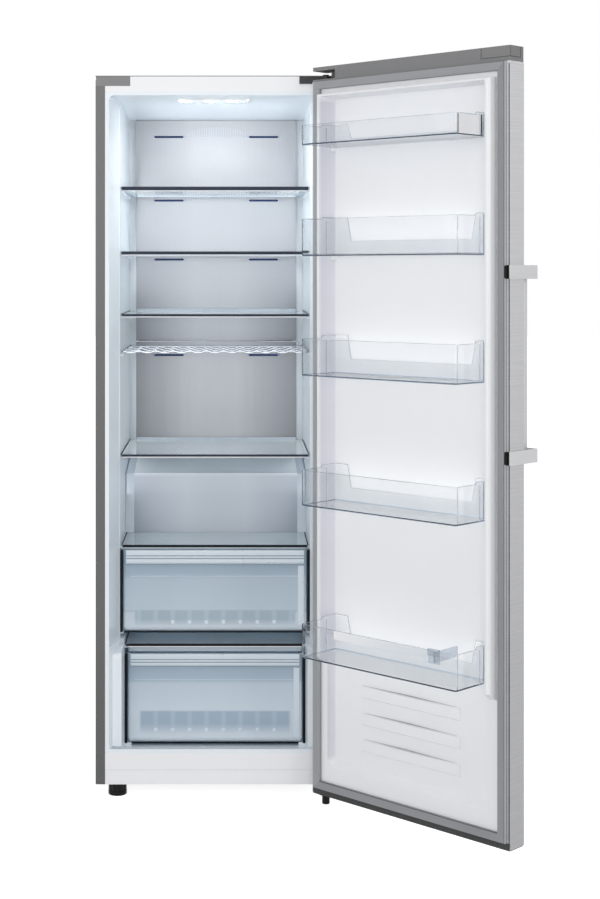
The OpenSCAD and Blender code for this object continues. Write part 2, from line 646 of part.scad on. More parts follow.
// Machine compartment at the back
pot_x = -120;
pot_y = cabinet_d - machine_d / 2 - 2.5;
module compressor() color("black") on_cabinet() {
    translate([pot_x, pot_y, base + 20]) rotate_extrude($fn = 64) polygon(concat([[0, 0]],
        arc(pot_r - 20, 20, 20, -90, 0), [[pot_r, pot_h * 0.55], [pot_r + 3, pot_h * 0.55],
        [pot_r + 3, pot_h * 0.55 + 5], [pot_r, pot_h * 0.55 + 5]],
        arc(pot_r - 40, pot_h - 40, 40, 0, 90), [[0, pot_h]]));
    box(pot_x - pot_r - 32, pot_x + pot_r + 32, pot_y - 40, pot_y + 40, base + 14, base + 22);
    for (x = [-1, 1]) for (y = [-1, 1]) translate([pot_x + x * (pot_r + 17), pot_y + y * 28, base + 2])
        cylinder(r = 9, h = 13);
    box(pot_x + pot_r - 12, pot_x + pot_r + 30, pot_y - 32, pot_y + 32, base + 60, base + 130);
}
tray_hw = 105;
tray_hd = 70;
module drip_tray() color("black") on_cabinet() translate([pot_x, pot_y, base + pot_h]) difference() {
    plan(20, 55) polygon(rounded(-tray_hw, tray_hw, -tray_hd, tray_hd, 15));
    plan(22, 56) polygon(rounded(2 - tray_hw, tray_hw - 2, 2 - tray_hd, tray_hd - 2, 13));
}
module machine_cover() color("dimgray") on_cabinet() difference() {
    box(0.2 - machine_hw, machine_hw - 0.2, cabinet_d - sheet_t, cabinet_d, base + 2, machine_top - 0.2);
    for (x = [40 : 14 : machine_hw - 30]) for (z = [60, 130, 200])
        box(x, x + 6, cabinet_d - 3, cabinet_d + 1, base + z, base + z + 50);
    translate([-machine_hw + 40, cabinet_d + 1, base + 60]) rotate([90, 0, 0]) cylinder(r = 9, h = 5);
}
module cable_gland() color("black") on_cabinet() translate([-machine_hw + 40, cabinet_d + 6, base + 60])
    rotate([90, 0, 0]) difference() {
        union() {
            cylinder(r = 12, h = 6);
            cylinder(r = 8.9, h = 12);
        }
        translate([0, 0, -1]) cylinder(r = 4, h = 20);
    }

// Door: steel skin, end caps, foam and moulded liner
skin_end = door_z0 + 2;
module skin_inside() polygon([[sheet_t - door_hw, door_in - sheet_t], [door_hw - sheet_t, door_in - sheet_t],
    [door_hw - sheet_t, door_out + sheet_t], [sheet_t - door_hw, door_out + sheet_t]]);
module door_skin() color("silver") on_door() {
    plan(skin_z0, skin_z1) difference() {
        polygon([[-door_hw, door_in], [door_fold - door_hw, door_in],
            [door_fold - door_hw, door_in - sheet_t], [door_hw - door_fold, door_in - sheet_t],
            [door_hw - door_fold, door_in], [door_hw, door_in], [door_hw, door_out], [-door_hw, door_out]]);
        skin_inside();
    }
    plan(skin_end, skin_z0) polygon([[-door_hw, door_in], [-door_hw, door_out], [door_hw, door_out],
        [door_hw, door_in], [door_hw - sheet_t, door_in], [door_hw - sheet_t, door_out + sheet_t],
        [sheet_t - door_hw, door_out + sheet_t], [sheet_t - door_hw, door_in]]);
}
boss_r = 12;
module door_top_cap() color("gray") on_door() difference() {
    union() {
        plan(skin_z1, door_z1) polygon(rounded(-door_hw, door_hw, door_out, door_in, 3));
        translate([axis_x, axis_y, high_pin_z]) cylinder(r = boss_r, h = skin_z1 - high_pin_z + 1);
    }
    translate([axis_x, axis_y, high_pin_z - 1]) cylinder(r = pin_r + pin_fit, h = 60);
    plan(notch_z0, notch_z1) {
        translate([door_hw - notch_w, axis_y - arm_hw - 1]) square([notch_w + 5, hw]);
        translate([axis_x, axis_y]) rotate(-45) translate([0, -arm_hw - 2]) square([60, 2 * arm_hw + 4]);
    }
}
module door_cap_cover() color("dimgray") on_door() plan(skin_z1 + 11, door_z1 - 2) difference() {
    polygon(rounded(-door_hw - 0.6, 79 - door_hw, door_in - 38, door_in + 0.6, 0.5));
    polygon(rounded(-door_hw, door_hw, door_out, door_in, 3));
}
module door_bottom_cap() color("dimgray") on_door() difference() {
    union() {
        plan(door_z0, skin_z0) polygon(rounded(sheet_t - door_hw, door_hw - sheet_t, door_out + sheet_t,
            door_in, 3));
        translate([axis_x, axis_y, skin_z0 - 1]) cylinder(r = boss_r, h = 9);
    }
    translate([axis_x, axis_y, door_z0 - 1]) cylinder(r = pin_r + pin_fit, h = low_pin_z - door_z0 + 1.5);
}

// The recess of the door's liner, grown by g
module recess(g) intersection() {
    plan(base, top) polygon(mirrored([[recess_hw + g, recess_y - g], [crest_hw + g, dyke_y + g]]));
    side(-hw, hw) polygon([[dyke_y + 1, recess_z0 - 17 - g], [door_in, recess_z0 - 17 - g],
        [recess_y - g, recess_z0 - g], [recess_y - g, recess_z1 + g], [dyke_y + g, recess_z1 + 5 + g]]);
}
// The dykes that frame the recess on both sides and above; their outer edges are rounded
dyke_round = [[1.5, -dyke_d - 1], [0.4, -7], [-1, -2.2], [-3.2, 0]];
module dykes() difference() {
    intersection() {
        plan(base, top) polygon(mirrored([for (p = dyke_round) [dyke_hw + 2 * min(p[0], 0) + max(p[0], 0),
            dyke_y + p[1]]]));
        side(-hw, hw) polygon(concat([[door_in - 1, dyke_z0 - 20], [door_in, dyke_z0 - 20],
            [dyke_y, dyke_z0]],
            [for (k = [3 : -1 : 0]) [dyke_y + dyke_round[k][1], dyke_z1 + dyke_round[k][0]]]));
    }
    recess(0);
}
liner_ribs = [125, 189, 255];
liner_rib_h = 31;
module door_liner() color("whitesmoke") on_door() difference() {
    union() {
        box(door_fold - door_hw, door_hw - door_fold, door_in - liner_t, door_in, skin_z0 + 1, skin_z1 - 1);
        intersection() {
            recess(liner_t);
            box(-hw, hw, door_out, door_in, base, top);
        }
        dykes();
    }
    difference() {
        recess(0);
        for (level = liner_ribs) translate([0, 0, base + level]) side(-148.5, 148.5)
            polygon([[recess_y - 1, 0], [recess_y, 0], [recess_y + 4, 3], [recess_y + 4, liner_rib_h - 3],
                [recess_y, liner_rib_h], [recess_y - 1, liner_rib_h]]);
        for (level = bin_levels) both_sides()
            box(bin_hw - 3, crest_hw, recess_y - 1, recess_y + 24, level - 8, level - seat);
    }
}
module door_insulation() color("khaki") on_door() difference() {
    box(sheet_t - door_hw, door_hw - sheet_t, door_out + sheet_t, door_in - liner_t, skin_z0, skin_z1);
    recess(liner_t);
    dykes();
    translate([axis_x, axis_y, high_pin_z]) cylinder(r = boss_r, h = 60);
    translate([axis_x, axis_y, skin_z0 - 1]) cylinder(r = boss_r, h = 9);
}

// Magnetic gasket: four sides with bevelled edges
gasket_out = door_hw - door_fold;
gasket_z0 = skin_z0;
gasket_z1 = skin_z1 - 1;
module gasket() color("darkgray") on_door() difference() {
    gasket_block(0, -3);
    gasket_block(-gasket_w, 3);
}
// Block whose outline is moved out by g, and by a further bevel on its last 3 mm
module gasket_block(g, bevel) intersection() {
    plan(0, door_z1) polygon(mirrored([[gasket_out + g, door_in],
        [gasket_out + g, -gasket_gap - 3], [gasket_out + g + bevel, -gasket_gap]]));
    side(-hw, hw) polygon([[door_in, gasket_z0 - g], [-gasket_gap - 3, gasket_z0 - g],
        [-gasket_gap, gasket_z0 - g - bevel], [-gasket_gap, gasket_z1 + g + bevel],
        [-gasket_gap - 3, gasket_z1 + g], [door_in, gasket_z1 + g]]);
}

// Door bins: open trays with raised tabs at the back of both ends and a back wall that is low in its middle
bin_tab_h = 6;
bin_back_end = 40;
module bin_outline(r, g) polygon(concat(arc(bin_hw - bin_r, bin_y1 - bin_r, r, 0, 90),
    arc(bin_r - bin_hw, bin_y1 - bin_r, r, 90, 180), [[g - bin_hw, bin_y0 + g], [bin_hw - g, bin_y0 + g]]));
module bin(i) on_door() {
    z = bin_levels[i];
    rim = z + bin_heights[i];
    tab = rim + bin_tab_h;
    low = z + bin_heights[i] * bin_back;
    notch = bin_hw - bin_back_end;
    difference() {
        plan(z, tab) bin_outline(bin_r, 0);
        plan(z + bin_t, tab + 1) bin_outline(bin_r - bin_t, bin_t);
        side(-hw, hw) polygon([[bin_y0 + bin_tab_d, tab + 1], [bin_y0 + bin_tab_d, tab],
            [bin_y0 + bin_tab_d + bin_tab_h, rim], [bin_y1 + 1, rim], [bin_y1 + 1, tab + 1]]);
        front(bin_y0 - 1, bin_y0 + bin_t + 1) polygon([[-notch, tab + 1], [-notch, tab], [12 - notch, low],
            [notch - 12, low], [notch, tab], [notch, tab + 1]]);
    }
}
module door_bin_1() color("aliceblue") bin(0);
module door_bin_2() color("aliceblue") bin(1);
module door_bin_3() color("aliceblue") bin(2);
module door_bin_4() color("aliceblue") bin(3);
module door_bin_5() color("aliceblue") bin(4);

// Bottle retainer that slides along the front wall of the lowest bin
clip_x = -185;
clip_w = 30;
clip_h = 30;
flap_d = 84;
module bottle_retainer() color("white") on_door() {
    z = bin_levels[4] + bin_heights[4];
    y = bin_y1;
    back = y - bin_t - seat;
    side(clip_x, clip_x + clip_w) polygon([[back - 2, z - clip_h], [back - 2, z + 3], [y + seat + 2, z + 3],
        [y + seat + 2, z - clip_h * 0.4], [y + seat, z - clip_h * 0.4], [y + seat, z + seat],
        [back, z + seat], [back, z - clip_h]]);
    box(clip_x + clip_w / 2 - 1.5, clip_x + clip_w / 2 + 1.5, back - 1 - flap_d, back - 1,
        z - clip_h + 2, z - 4);
}

// Handle: two brackets around the door's free edge, and a grip bar between them
module bracket(z) on_door() plan(z - bracket_h / 2, z + bracket_h / 2)
    polygon([[-door_hw, door_in - 2], [-door_hw, bar_y + bracket_t], [bar_x + bar_w, bar_y + bracket_t],
        [bar_x + bar_w, bar_y], [-door_hw - bracket_t + 3, bar_y], [-door_hw - bracket_t, bar_y + 3],
        [-door_hw - bracket_t, door_in + 4], [door_fold - 0.5 - door_hw, door_in + 4],
        [door_fold - 0.5 - door_hw, door_in], [-door_hw, door_in]]);
module handle_bracket_upper() color("silver") bracket(base + handle_level + handle_l);
module handle_bracket_lower() color("silver") bracket(base + handle_level);
module handle_bar() color("gainsboro") on_door() translate([0, 0, base + handle_level])
    plan(-bracket_h / 2, handle_l + bracket_h / 2)
        polygon(rounded(bar_x, bar_x + bar_w, bar_y + bracket_t, bar_y + bracket_t + bar_d, 4));

side_left();
side_right();
top_cover();
back_sheet();
base_tray();
cabinet_insulation();
inner_liner();
top_rail();
bottom_rail();
plinth();
corner_cap();
upper_hinge();
lower_hinge();
duct_panel();
evaporator_cover();
evaporator();
fan_shroud();
fan_blades();
lamp_housing();
lamp_lens();
shelf_glass_1();
shelf_glass_2();
shelf_glass_3();
shelf_glass_4();
shelf_trim_1();
shelf_trim_2();
shelf_trim_3();
shelf_trim_4();
wine_rack();
crisper_glass_upper();
crisper_trim_upper();
crisper_glass_lower();
crisper_trim_lower();
drawer_upper();
drawer_lower();
compressor();
drip_tray();
machine_cover();
cable_gland();
roller_left();
roller_right();
foot_left();
foot_hinge();
door_skin();
door_insulation();
door_liner();
gasket();
door_top_cap();
door_cap_cover();
door_bottom_cap();
handle_bar();
handle_bracket_upper();
handle_bracket_lower();
door_bin_1();
door_bin_2();
door_bin_3();
door_bin_4();
door_bin_5();
bottle_retainer();
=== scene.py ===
import json
import math

import bmesh
import bpy
from mathutils import Matrix, Vector


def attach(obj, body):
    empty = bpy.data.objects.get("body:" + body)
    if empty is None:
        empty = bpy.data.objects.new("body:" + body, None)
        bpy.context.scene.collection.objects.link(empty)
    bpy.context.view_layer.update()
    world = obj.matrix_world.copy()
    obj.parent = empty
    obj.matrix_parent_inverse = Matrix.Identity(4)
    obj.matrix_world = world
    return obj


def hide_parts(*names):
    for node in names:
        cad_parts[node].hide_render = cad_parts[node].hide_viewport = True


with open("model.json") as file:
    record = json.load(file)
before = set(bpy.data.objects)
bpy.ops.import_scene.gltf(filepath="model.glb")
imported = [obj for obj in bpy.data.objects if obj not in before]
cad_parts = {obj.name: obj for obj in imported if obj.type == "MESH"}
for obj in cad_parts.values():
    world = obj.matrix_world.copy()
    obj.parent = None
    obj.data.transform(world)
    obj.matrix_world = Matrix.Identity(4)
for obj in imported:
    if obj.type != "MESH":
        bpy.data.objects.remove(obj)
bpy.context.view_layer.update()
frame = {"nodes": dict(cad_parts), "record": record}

# Cabinet coordinates, in mm: X = 0 at the cabinet's middle, Y = 0 on its front, the door shut.
AXIS_X = 278.5
AXIS_Y = -39.0
DOOR_TURN = math.radians(135)
TO_ROW = Matrix.Scale(0.001, 4) @ Matrix.Translation((-AXIS_X, -AXIS_Y, 0))
DOOR_TO_ROW = Matrix.Rotation(DOOR_TURN, 4, "Z") @ TO_ROW


def srgb(r, g, b):
    """A colour given as sRGB values of 0 to 255, in linear light."""
    def lin(c):
        c /= 255
        return c / 12.92 if c <= 0.04045 else ((c + 0.055) / 1.055) ** 2.4
    return (lin(r), lin(g), lin(b), 1.0)


# ---------------------------------------------------------------- camera
CAMERA_PLACE = (39.0, -4160.0, 1327.0)
FOCAL_PX = 1650.0
FRAME_W, FRAME_H = 600.0, 899.0
PRINCIPAL = (230.0, 272.0)
SENSOR = 36.0
camera_data = bpy.data.cameras.new("camera")
camera = bpy.data.objects.new("camera", camera_data)
bpy.context.scene.collection.objects.link(camera)
camera.location = TO_ROW @ Vector(CAMERA_PLACE)
camera.rotation_euler = (math.radians(90), 0, 0)
camera_data.sensor_width = SENSOR
camera_data.lens = SENSOR * FOCAL_PX / FRAME_H
camera_data.shift_x = (FRAME_W / 2 - PRINCIPAL[0]) / FRAME_H
camera_data.shift_y = (PRINCIPAL[1] - FRAME_H / 2) / FRAME_H
camera_data.clip_end = 100
bpy.context.scene.camera = camera


# ---------------------------------------------------------------- materials
class Look:
    """A node material that is put together step by step."""

    def __init__(self, name, turn=0.0):
        self.name = name
        self.mat = bpy.data.materials.new(name)
        self.mat.use_nodes = True
        self.nodes = self.mat.node_tree.nodes
        self.links = self.mat.node_tree.links
        self.nodes.clear()
        self.out = self.add("ShaderNodeOutputMaterial")
        self.bsdf = self.add("ShaderNodeBsdfPrincipled")
        self.link(self.bsdf.outputs[0], self.out.inputs["Surface"])
        self.coord = self.add("ShaderNodeTexCoord").outputs["Object"]
        self.turn = turn

    def add(self, kind, **values):
        node = self.nodes.new(kind)
        for key, value in values.items():
            setattr(node, key, value)
        return node

    def link(self, a, b):
        self.links.new(a, b)

    def set(self, **values):
        """Sets inputs of the shader, named with an underscore for each space."""
        for key, value in values.items():
            self.bsdf.inputs[key.replace("_", " ")].default_value = value

    def place(self, scale=(1, 1, 1)):
        """The object's coordinates, turned back for what hangs on the open door, and stretched."""
        spun = self.add("ShaderNodeMapping", vector_type="POINT")
        spun.inputs["Rotation"].default_value = (0, 0, self.turn)
        self.link(self.coord, spun.inputs["Vector"])
        node = self.add("ShaderNodeMapping", vector_type="POINT")
        node.inputs["Scale"].default_value = scale
        self.link(spun.outputs[0], node.inputs["Vector"])
        return node.outputs[0]

    def noise(self, scale, stretch=(1, 1, 1), detail=3.0, rough=0.5):
        node = self.add("ShaderNodeTexNoise")
        node.inputs["Scale"].default_value = scale
        node.inputs["Detail"].default_value = detail
        node.inputs["Roughness"].default_value = rough
        self.link(self.place(stretch), node.inputs["Vector"])
        return node.outputs["Fac"]

    def axis(self, name):
        """One coordinate in metres."""
        node = self.add("ShaderNodeSeparateXYZ")
        self.link(self.place(), node.inputs[0])
        return node.outputs[name]

    def right(self):
        """Distance to the right of the cabinet's middle, in metres."""
        node = self.add("ShaderNodeMath", operation="ADD")
        node.inputs[1].default_value = AXIS_X / 1000
        self.link(self.axis("X"), node.inputs[0])
        return node.outputs[0]

    def aside(self):
        """Distance from the cabinet's middle to either side, in metres."""
        node = self.add("ShaderNodeMath", operation="ABSOLUTE")
        self.link(self.right(), node.inputs[0])
        return node.outputs[0]

    def height(self, z0, z1):
        """0 at the height z0 and 1 at z1, both in metres."""
        return self.span(self.axis("Z"), z0, z1)

    def ramp(self, factor, stops):
        """A colour ramp; its stops are pairs of a place from 0 to 1 and a linear colour."""
        node = self.add("ShaderNodeValToRGB")
        marks = node.color_ramp.elements
        while len(marks) < len(stops):
            marks.new(0.5)
        for mark, (where, color) in zip(marks, stops):
            mark.position = where
            mark.color = color
        self.link(factor, node.inputs["Fac"])
        return node.outputs["Color"]

    def span(self, value, a, b, lo=0.0, hi=1.0):
        """The value mapped from the range a to b onto lo to hi, and held inside it."""
        node = self.add("ShaderNodeMapRange")
        for k, v in zip((1, 2, 3, 4), (a, b, lo, hi)):
            node.inputs[k].default_value = v
        self.link(value, node.inputs[0])
        return node.outputs[0]

    def mix(self, factor, a, b, blend="MIX"):
        node = self.add("ShaderNodeMix", data_type="RGBA", blend_type=blend)
        for value, socket in ((factor, node.inputs[0]), (a, node.inputs[6]), (b, node.inputs[7])):
            if isinstance(value, (float, int, tuple)):
                socket.default_value = value
            else:
                self.link(value, socket)
        return node.outputs[2]

    def times(self, a, b):
        return self.mix(1.0, a, b, "MULTIPLY")

    def color(self, socket):
        self.link(socket, self.bsdf.inputs["Base Color"])

    def roughness(self, socket):
        self.link(socket, self.bsdf.inputs["Roughness"])

    def bump(self, height, strength, distance):
        node = self.add("ShaderNodeBump")
        node.inputs["Strength"].default_value = strength
        node.inputs["Distance"].default_value = distance
        self.link(height, node.inputs["Height"])
        self.link(node.outputs[0], self.bsdf.inputs["Normal"])

    def moulded_over(self, tone, toward, drift, rough, uneven):
        """Moulded plastic over a drawn tone: drift to another colour, uneven gloss, fine grain."""
        faint = self.span(self.noise(2.5, detail=2), 0.3, 0.7, 0.0, drift)
        self.color(self.mix(faint, tone, toward))
        self.roughness(self.span(self.noise(18), 0.3, 0.7, rough - uneven, rough + uneven))
        self.bump(self.noise(700), 0.08, 0.0003)

    def lets_lamps_through(self, tint):
        """Light from lamps passes straight through the surface with the tint."""
        path = self.add("ShaderNodeLightPath")
        clear = self.add("ShaderNodeBsdfTransparent")
        clear.inputs["Color"].default_value = tint
        mixer = self.add("ShaderNodeMixShader")
        self.link(path.outputs["Is Shadow Ray"], mixer.inputs[0])
        self.link(self.bsdf.outputs[0], mixer.inputs[1])
        self.link(clear.outputs[0], mixer.inputs[2])
        self.link(mixer.outputs[0], self.out.inputs["Surface"])


BLACK = (0, 0, 0, 1)
WHITE = (1, 1, 1, 1)


def shade(color, factor):
    """A colour made darker or lighter."""
    return (color[0] * factor, color[1] * factor, color[2] * factor, 1.0)


def greys(*stops):
    """Stops of a ramp, each given as its place and a grey level."""
    return [(where, (level, level, level, 1)) for where, level in stops]


def tones(*stops):
    """Stops of a ramp, each given as its place and an sRGB colour."""
    return [(where, srgb(*color)) for where, color in stops]


def moulded(name, color, rough, spread=0.06, grain=700, depth=0.08, coat=0.0, uneven=0.05):
    """Moulded plastic: faint colour drift, fine texture and a slightly uneven gloss."""
    look = Look(name)
    look.set(Coat_Weight=coat, Coat_Roughness=0.12)
    drift = look.noise(2.5, detail=2)
    look.color(look.ramp(drift, [(0.3, shade(color, 1 - spread)), (0.7, color)]))
    look.roughness(look.span(look.noise(18), 0.3, 0.7, rough - uneven, rough + uneven))
    look.bump(look.noise(grain), depth, 0.0003)
    return look


def painted(name, color, rough=0.4):
    """Painted sheet steel: fine orange peel under an even satin coat."""
    look = Look(name)
    look.set(Coat_Weight=0.04, Coat_Roughness=0.3, Specular_IOR_Level=0.25)
    drift = look.noise(3.0, (1, 1, 0.4), detail=2)
    look.base = look.ramp(drift, [(0.3, shade(color, 0.96)), (0.7, shade(color, 1.03))])
    look.color(look.base)
    look.roughness(look.span(look.noise(24), 0.3, 0.7, rough, rough + 0.03))
    look.bump(look.noise(420, detail=2), 0.12, 0.0003)
    return look


def brushed(name, color, along, rough, metallic=0.85, contrast=0.12, turn=0.0):
    """Brushed metal: long fine lines along one axis, given as the stretch of the noise."""
    look = Look(name, turn)
    look.set(Metallic=metallic)
    lines = look.noise(1.0, along, detail=4, rough=0.65)
    broad = look.noise(1.4, detail=2)
    base = look.ramp(lines, [(0.32, shade(color, 1 - contrast)),
                             (0.68, shade(color, 1 + contrast * 0.4))])
    look.base = look.mix(look.span(broad, 0.3, 0.7, 0.0, 0.15), base, shade(color, 0.92))
    look.color(look.base)
    look.roughness(look.span(lines, 0.3, 0.7, rough - 0.06, rough + 0.1))
    look.bump(lines, 0.1, 0.0002)
    return look


def clear(name, color, rough, ior, tint, through=1.0):
    """Clear glass or plastic that lets lamps through, with faint haze in patches."""
    look = Look(name)
    look.set(Transmission_Weight=through, IOR=ior)
    haze = look.noise(9, detail=2)
    look.color(look.ramp(haze, [(0.1, shade(color, 0.975)), (0.9, color)]))
    look.roughness(look.span(haze, 0.0, 1.0, rough, rough + 0.02))
    look.lets_lamps_through(tint)
    return look


def brushed_door(name, color, along, **finish):
    """Brushed metal on the open door, so its lines turn with the door."""
    return brushed(name, color, along, turn=-DOOR_TURN, **finish)


# finishes that several plastics share, and the looks by name: those of the record's slots and
# those that only dressed pieces have
SMOOTH = {"spread": 0.01, "coat": 0.1, "uneven": 0.015}
SOFT = {"rough": 0.6, "depth": 0.15}
LOOKS = {look.name: look for look in (
    painted("side_steel", srgb(120, 119, 119)),
    painted("back_steel", srgb(92, 92, 94), rough=0.5),
    moulded("foam", srgb(232, 222, 180), rough=0.9, grain=160, depth=0.5),
    moulded("liner_plastic", srgb(236, 242, 247), rough=0.3, **SMOOTH),
    moulded("frame_plastic", srgb(243, 243, 245), rough=0.32, **SMOOTH),
    moulded("cap_plastic", srgb(126, 126, 127), rough=0.42, spread=0.03),
    painted("hinge_steel", srgb(46, 46, 48), rough=0.36),
    brushed("duct_steel", srgb(168, 170, 175), (420, 420, 0.7),
            rough=0.4, metallic=0.5, contrast=0.06),
    brushed("coil_aluminium", srgb(225, 225, 228), (60, 60, 8), rough=0.3),
    clear("shelf_glass", srgb(228, 236, 241), 0.1, 1.45, (0.93, 0.96, 0.97, 1), 0.6),
    brushed("rack_chrome", srgb(196, 200, 206), (8, 90, 90), rough=0.16, metallic=1.0),
    moulded("rack_dark", srgb(58, 68, 84), rough=0.25, spread=0.05, coat=0.3),
    painted("pot_steel", srgb(34, 34, 36), rough=0.4),
    moulded("black_plastic", srgb(15, 15, 16), rough=0.4, spread=0.1),
    moulded("dark_plastic", srgb(28, 28, 29), rough=0.55),
    moulded("black_rubber", srgb(26, 26, 28), rough=0.7, depth=0.2),
    brushed_door("door_steel", srgb(220, 220, 221), (5, 5, 260), rough=0.5, metallic=0.2),
    moulded("gasket_rubber", srgb(158, 159, 162), **SOFT),
    brushed_door("handle_metal", srgb(218, 218, 220), (6, 6, 160),
                 rough=0.45, metallic=0.2, contrast=0.05),
    clear("bin_plastic", srgb(243, 244, 245), 0.02, 1.25, (0.97, 0.98, 0.985, 1)),
    clear("bin_floor", srgb(206, 213, 224), 0.05, 1.25, (0.9, 0.92, 0.94, 1)),
    clear("bin_edge", srgb(166, 192, 220), 0.06, 1.25, (0.8, 0.86, 0.92, 1), 0.85),
    clear("bin_rim", srgb(214, 220, 227), 0.06, 1.25, (0.9, 0.93, 0.95, 1), 0.85),
    clear("drawer_plastic", srgb(206, 217, 226), 0.2, 1.3, (0.70, 0.77, 0.82, 1), 0.45),
    moulded("drawer_light", srgb(216, 225, 233), rough=0.3, spread=0.02),
    moulded("drawer_shade", srgb(140, 154, 166), rough=0.3, spread=0.04),
    moulded("glass_edge", srgb(48, 54, 68), rough=0.45, spread=0.08),
    moulded("black_edge", srgb(10, 14, 20), rough=0.5, spread=0.08),
    moulded("slot_blue", srgb(48, 62, 98), rough=0.8, spread=0.1),
    moulded("trim_plastic", srgb(176, 186, 196), rough=0.3, spread=0.04),
    moulded("rib_line", srgb(176, 178, 182), rough=0.5, spread=0.04),
    moulded("gasket_dark", srgb(147, 148, 151), **SOFT),
    moulded("gasket_highlight", srgb(190, 190, 193), **SOFT),
    moulded("gasket_line", srgb(84, 84, 84), **SOFT),
)}
for dull in ("black_edge", "slot_blue", "glass_edge", "black_plastic"):
    LOOKS[dull].set(Specular_IOR_Level=0.15)

# painted reflection and shade: the duct's brushed sheet is painted darker towards its sides and
# towards its lower end, leaving a lighter fan down its middle under the lamp
duct = LOOKS["duct_steel"]
duct_up = duct.height(0.8, 1.8)
duct_side_shade = duct.ramp(duct_up, [(0.0, (0.52, 0.53, 0.55, 1)), (0.35, (0.53, 0.54, 0.56, 1)),
                                (0.52, (0.72, 0.73, 0.75, 1)), (0.8, (0.84, 0.85, 0.86, 1)),
                                (1.0, (0.93, 0.93, 0.93, 1))])
duct_middle_shade = duct.ramp(duct_up, greys((0.0, 0.8), (0.4, 0.9), (0.52, 1), (0.75, 1)))
duct_shade = duct.mix(duct.span(duct.aside(), 0.06, 0.24), WHITE, duct_side_shade)
duct.color(duct.times(duct.times(duct.base, duct_middle_shade), duct_shade))

# painted shade: the painted sides are darker towards the floor, and the door's steel is painted
# lighter towards its top, as the light falls on them
flank = LOOKS["side_steel"]
flank_shade = flank.ramp(flank.height(0.0, 1.82), greys((0.0, 0.64), (0.5, 0.79), (1.0, 1)))
flank.color(flank.times(flank.base, flank_shade))
steel = LOOKS["door_steel"]
steel_shade = steel.ramp(steel.height(0.0, 1.83),
                        [(0.0, (0.66, 0.66, 0.67, 1)), (0.25, (0.72, 0.72, 0.73, 1)),
                         (0.6, (0.88, 0.88, 0.89, 1)), (1.0, (0.98, 0.98, 1, 1))])
steel.color(steel.times(steel.base, steel_shade))

# spacing of the knobs on the drawers' fronts and of the ribs on their floors
KNOB_PITCH = 44.0


def banded(name, z0, z1, bands, inset, low, high, patch, first_knob):
    """A frosted drawer front with soft bands of painted light and shade between z0 and z1.

    Low on it lies a patch of painted shade, from low to high and inset to each side of the
    middle, and painted highlights rise from the knobs in light streaks. All in mm.
    """
    look = Look(name)
    look.set(Transmission_Weight=0.35, IOR=1.3)
    haze = look.noise(9, detail=2)
    stops = [((z - z0) / (z1 - z0), color) for z, color in bands]
    tone = look.ramp(look.height(z0 / 1000, z1 / 1000), tones(*stops))
    window = look.ramp(look.height((low - 12) / 1000, (high + 3) / 1000),
                       greys((0.0, 0), (0.45, 1), (0.93, 1), (1.0, 0)))
    middle = look.mix(look.span(look.aside(), inset / 1000, (inset + 6) / 1000), window, BLACK)
    tone = look.mix(middle, tone, srgb(*patch))
    wave = look.add("ShaderNodeMath", operation="MULTIPLY_ADD")
    wave.inputs[1].default_value = 2 * math.pi / (KNOB_PITCH / 1000)
    wave.inputs[2].default_value = -2 * math.pi * first_knob / KNOB_PITCH
    look.link(look.right(), wave.inputs[0])
    crest = look.add("ShaderNodeMath", operation="COSINE")
    look.link(wave.outputs[0], crest.inputs[0])
    highlight_streak = look.mix(look.span(crest.outputs[0], 0.35, 1.0, 0.0, 0.3), BLACK, window)
    tone = look.mix(highlight_streak, tone, srgb(236, 242, 247))
    look.color(look.mix(look.span(haze, 0.1, 0.9, 0.0, 0.05), tone, srgb(150, 165, 178)))
    look.roughness(look.span(haze, 0.0, 1.0, 0.2, 0.24))
    look.lets_lamps_through((0.70, 0.77, 0.82, 1))
    LOOKS[name] = look


banded("drawer_upper", 392.5, 604.5,
       [(392.5, (232, 239, 245)), (440, (226, 234, 241)), (446, (202, 215, 224)),
        (450, (214, 226, 234)), (528, (206, 218, 228)), (546, (190, 205, 217)),
        (570, (184, 200, 213))],
       205, 417, 446, (190, 205, 215), -2.5 * KNOB_PITCH)
banded("drawer_lower", 103.4, 335.4,
       [(103.4, (240, 246, 251)), (138, (238, 244, 249)), (190, (232, 240, 246)),
        (258, (220, 230, 239)), (264, (200, 214, 225)), (300, (190, 205, 218))],
       192, 138, 185, (192, 207, 220), -3.5 * KNOB_PITCH)

# a frosted strip on the lowest bin's front wall, whitest at its hinge end
FROST_X0, FROST_X1 = -155.0, 127.0
frost = Look("bin_frost", -DOOR_TURN)
frost.set(Transmission_Weight=0.15, IOR=1.38, Roughness=0.25)
frost_along = frost.span(frost.axis("X"), (FROST_X0 - AXIS_X) / 1000, (FROST_X1 - AXIS_X) / 1000)
frost_tones = tones((0.0, (228, 233, 240)), (0.55, (240, 243, 247)), (1.0, (252, 252, 253)))
frost.color(frost.ramp(frost_along, frost_tones))
frost.lets_lamps_through((0.9, 0.92, 0.94, 1))
LOOKS["bin_frost"] = frost

# painted shade and light: the evaporator's cover is painted darker towards its sides, its slope is
# painted lighter, and its side flanges are painted lighter low down and darker towards their top
cover = Look("cover_plastic")
cover_shading = cover.mix(cover.span(cover.aside(), 0.08, 0.22),
                       srgb(200, 205, 213), srgb(158, 166, 177))
slope_light = cover.ramp(cover.height(0.4, 0.8),
                        greys((0.0, 0), (0.8, 0), (0.84, 0.06), (0.92, 0.1), (0.955, 0.5)))
cover_shading = cover.mix(slope_light, cover_shading, srgb(244, 248, 251))
flange_shading = cover.mix(cover.height(0.6, 0.78), srgb(226, 233, 239), srgb(160, 170, 181))
cover_shading = cover.mix(cover.span(cover.aside(), 0.2224, 0.2226), cover_shading, flange_shading)
cover.moulded_over(cover_shading, srgb(120, 128, 140), 0.03, 0.35, 0.03)
LOOKS["cover_plastic"] = cover

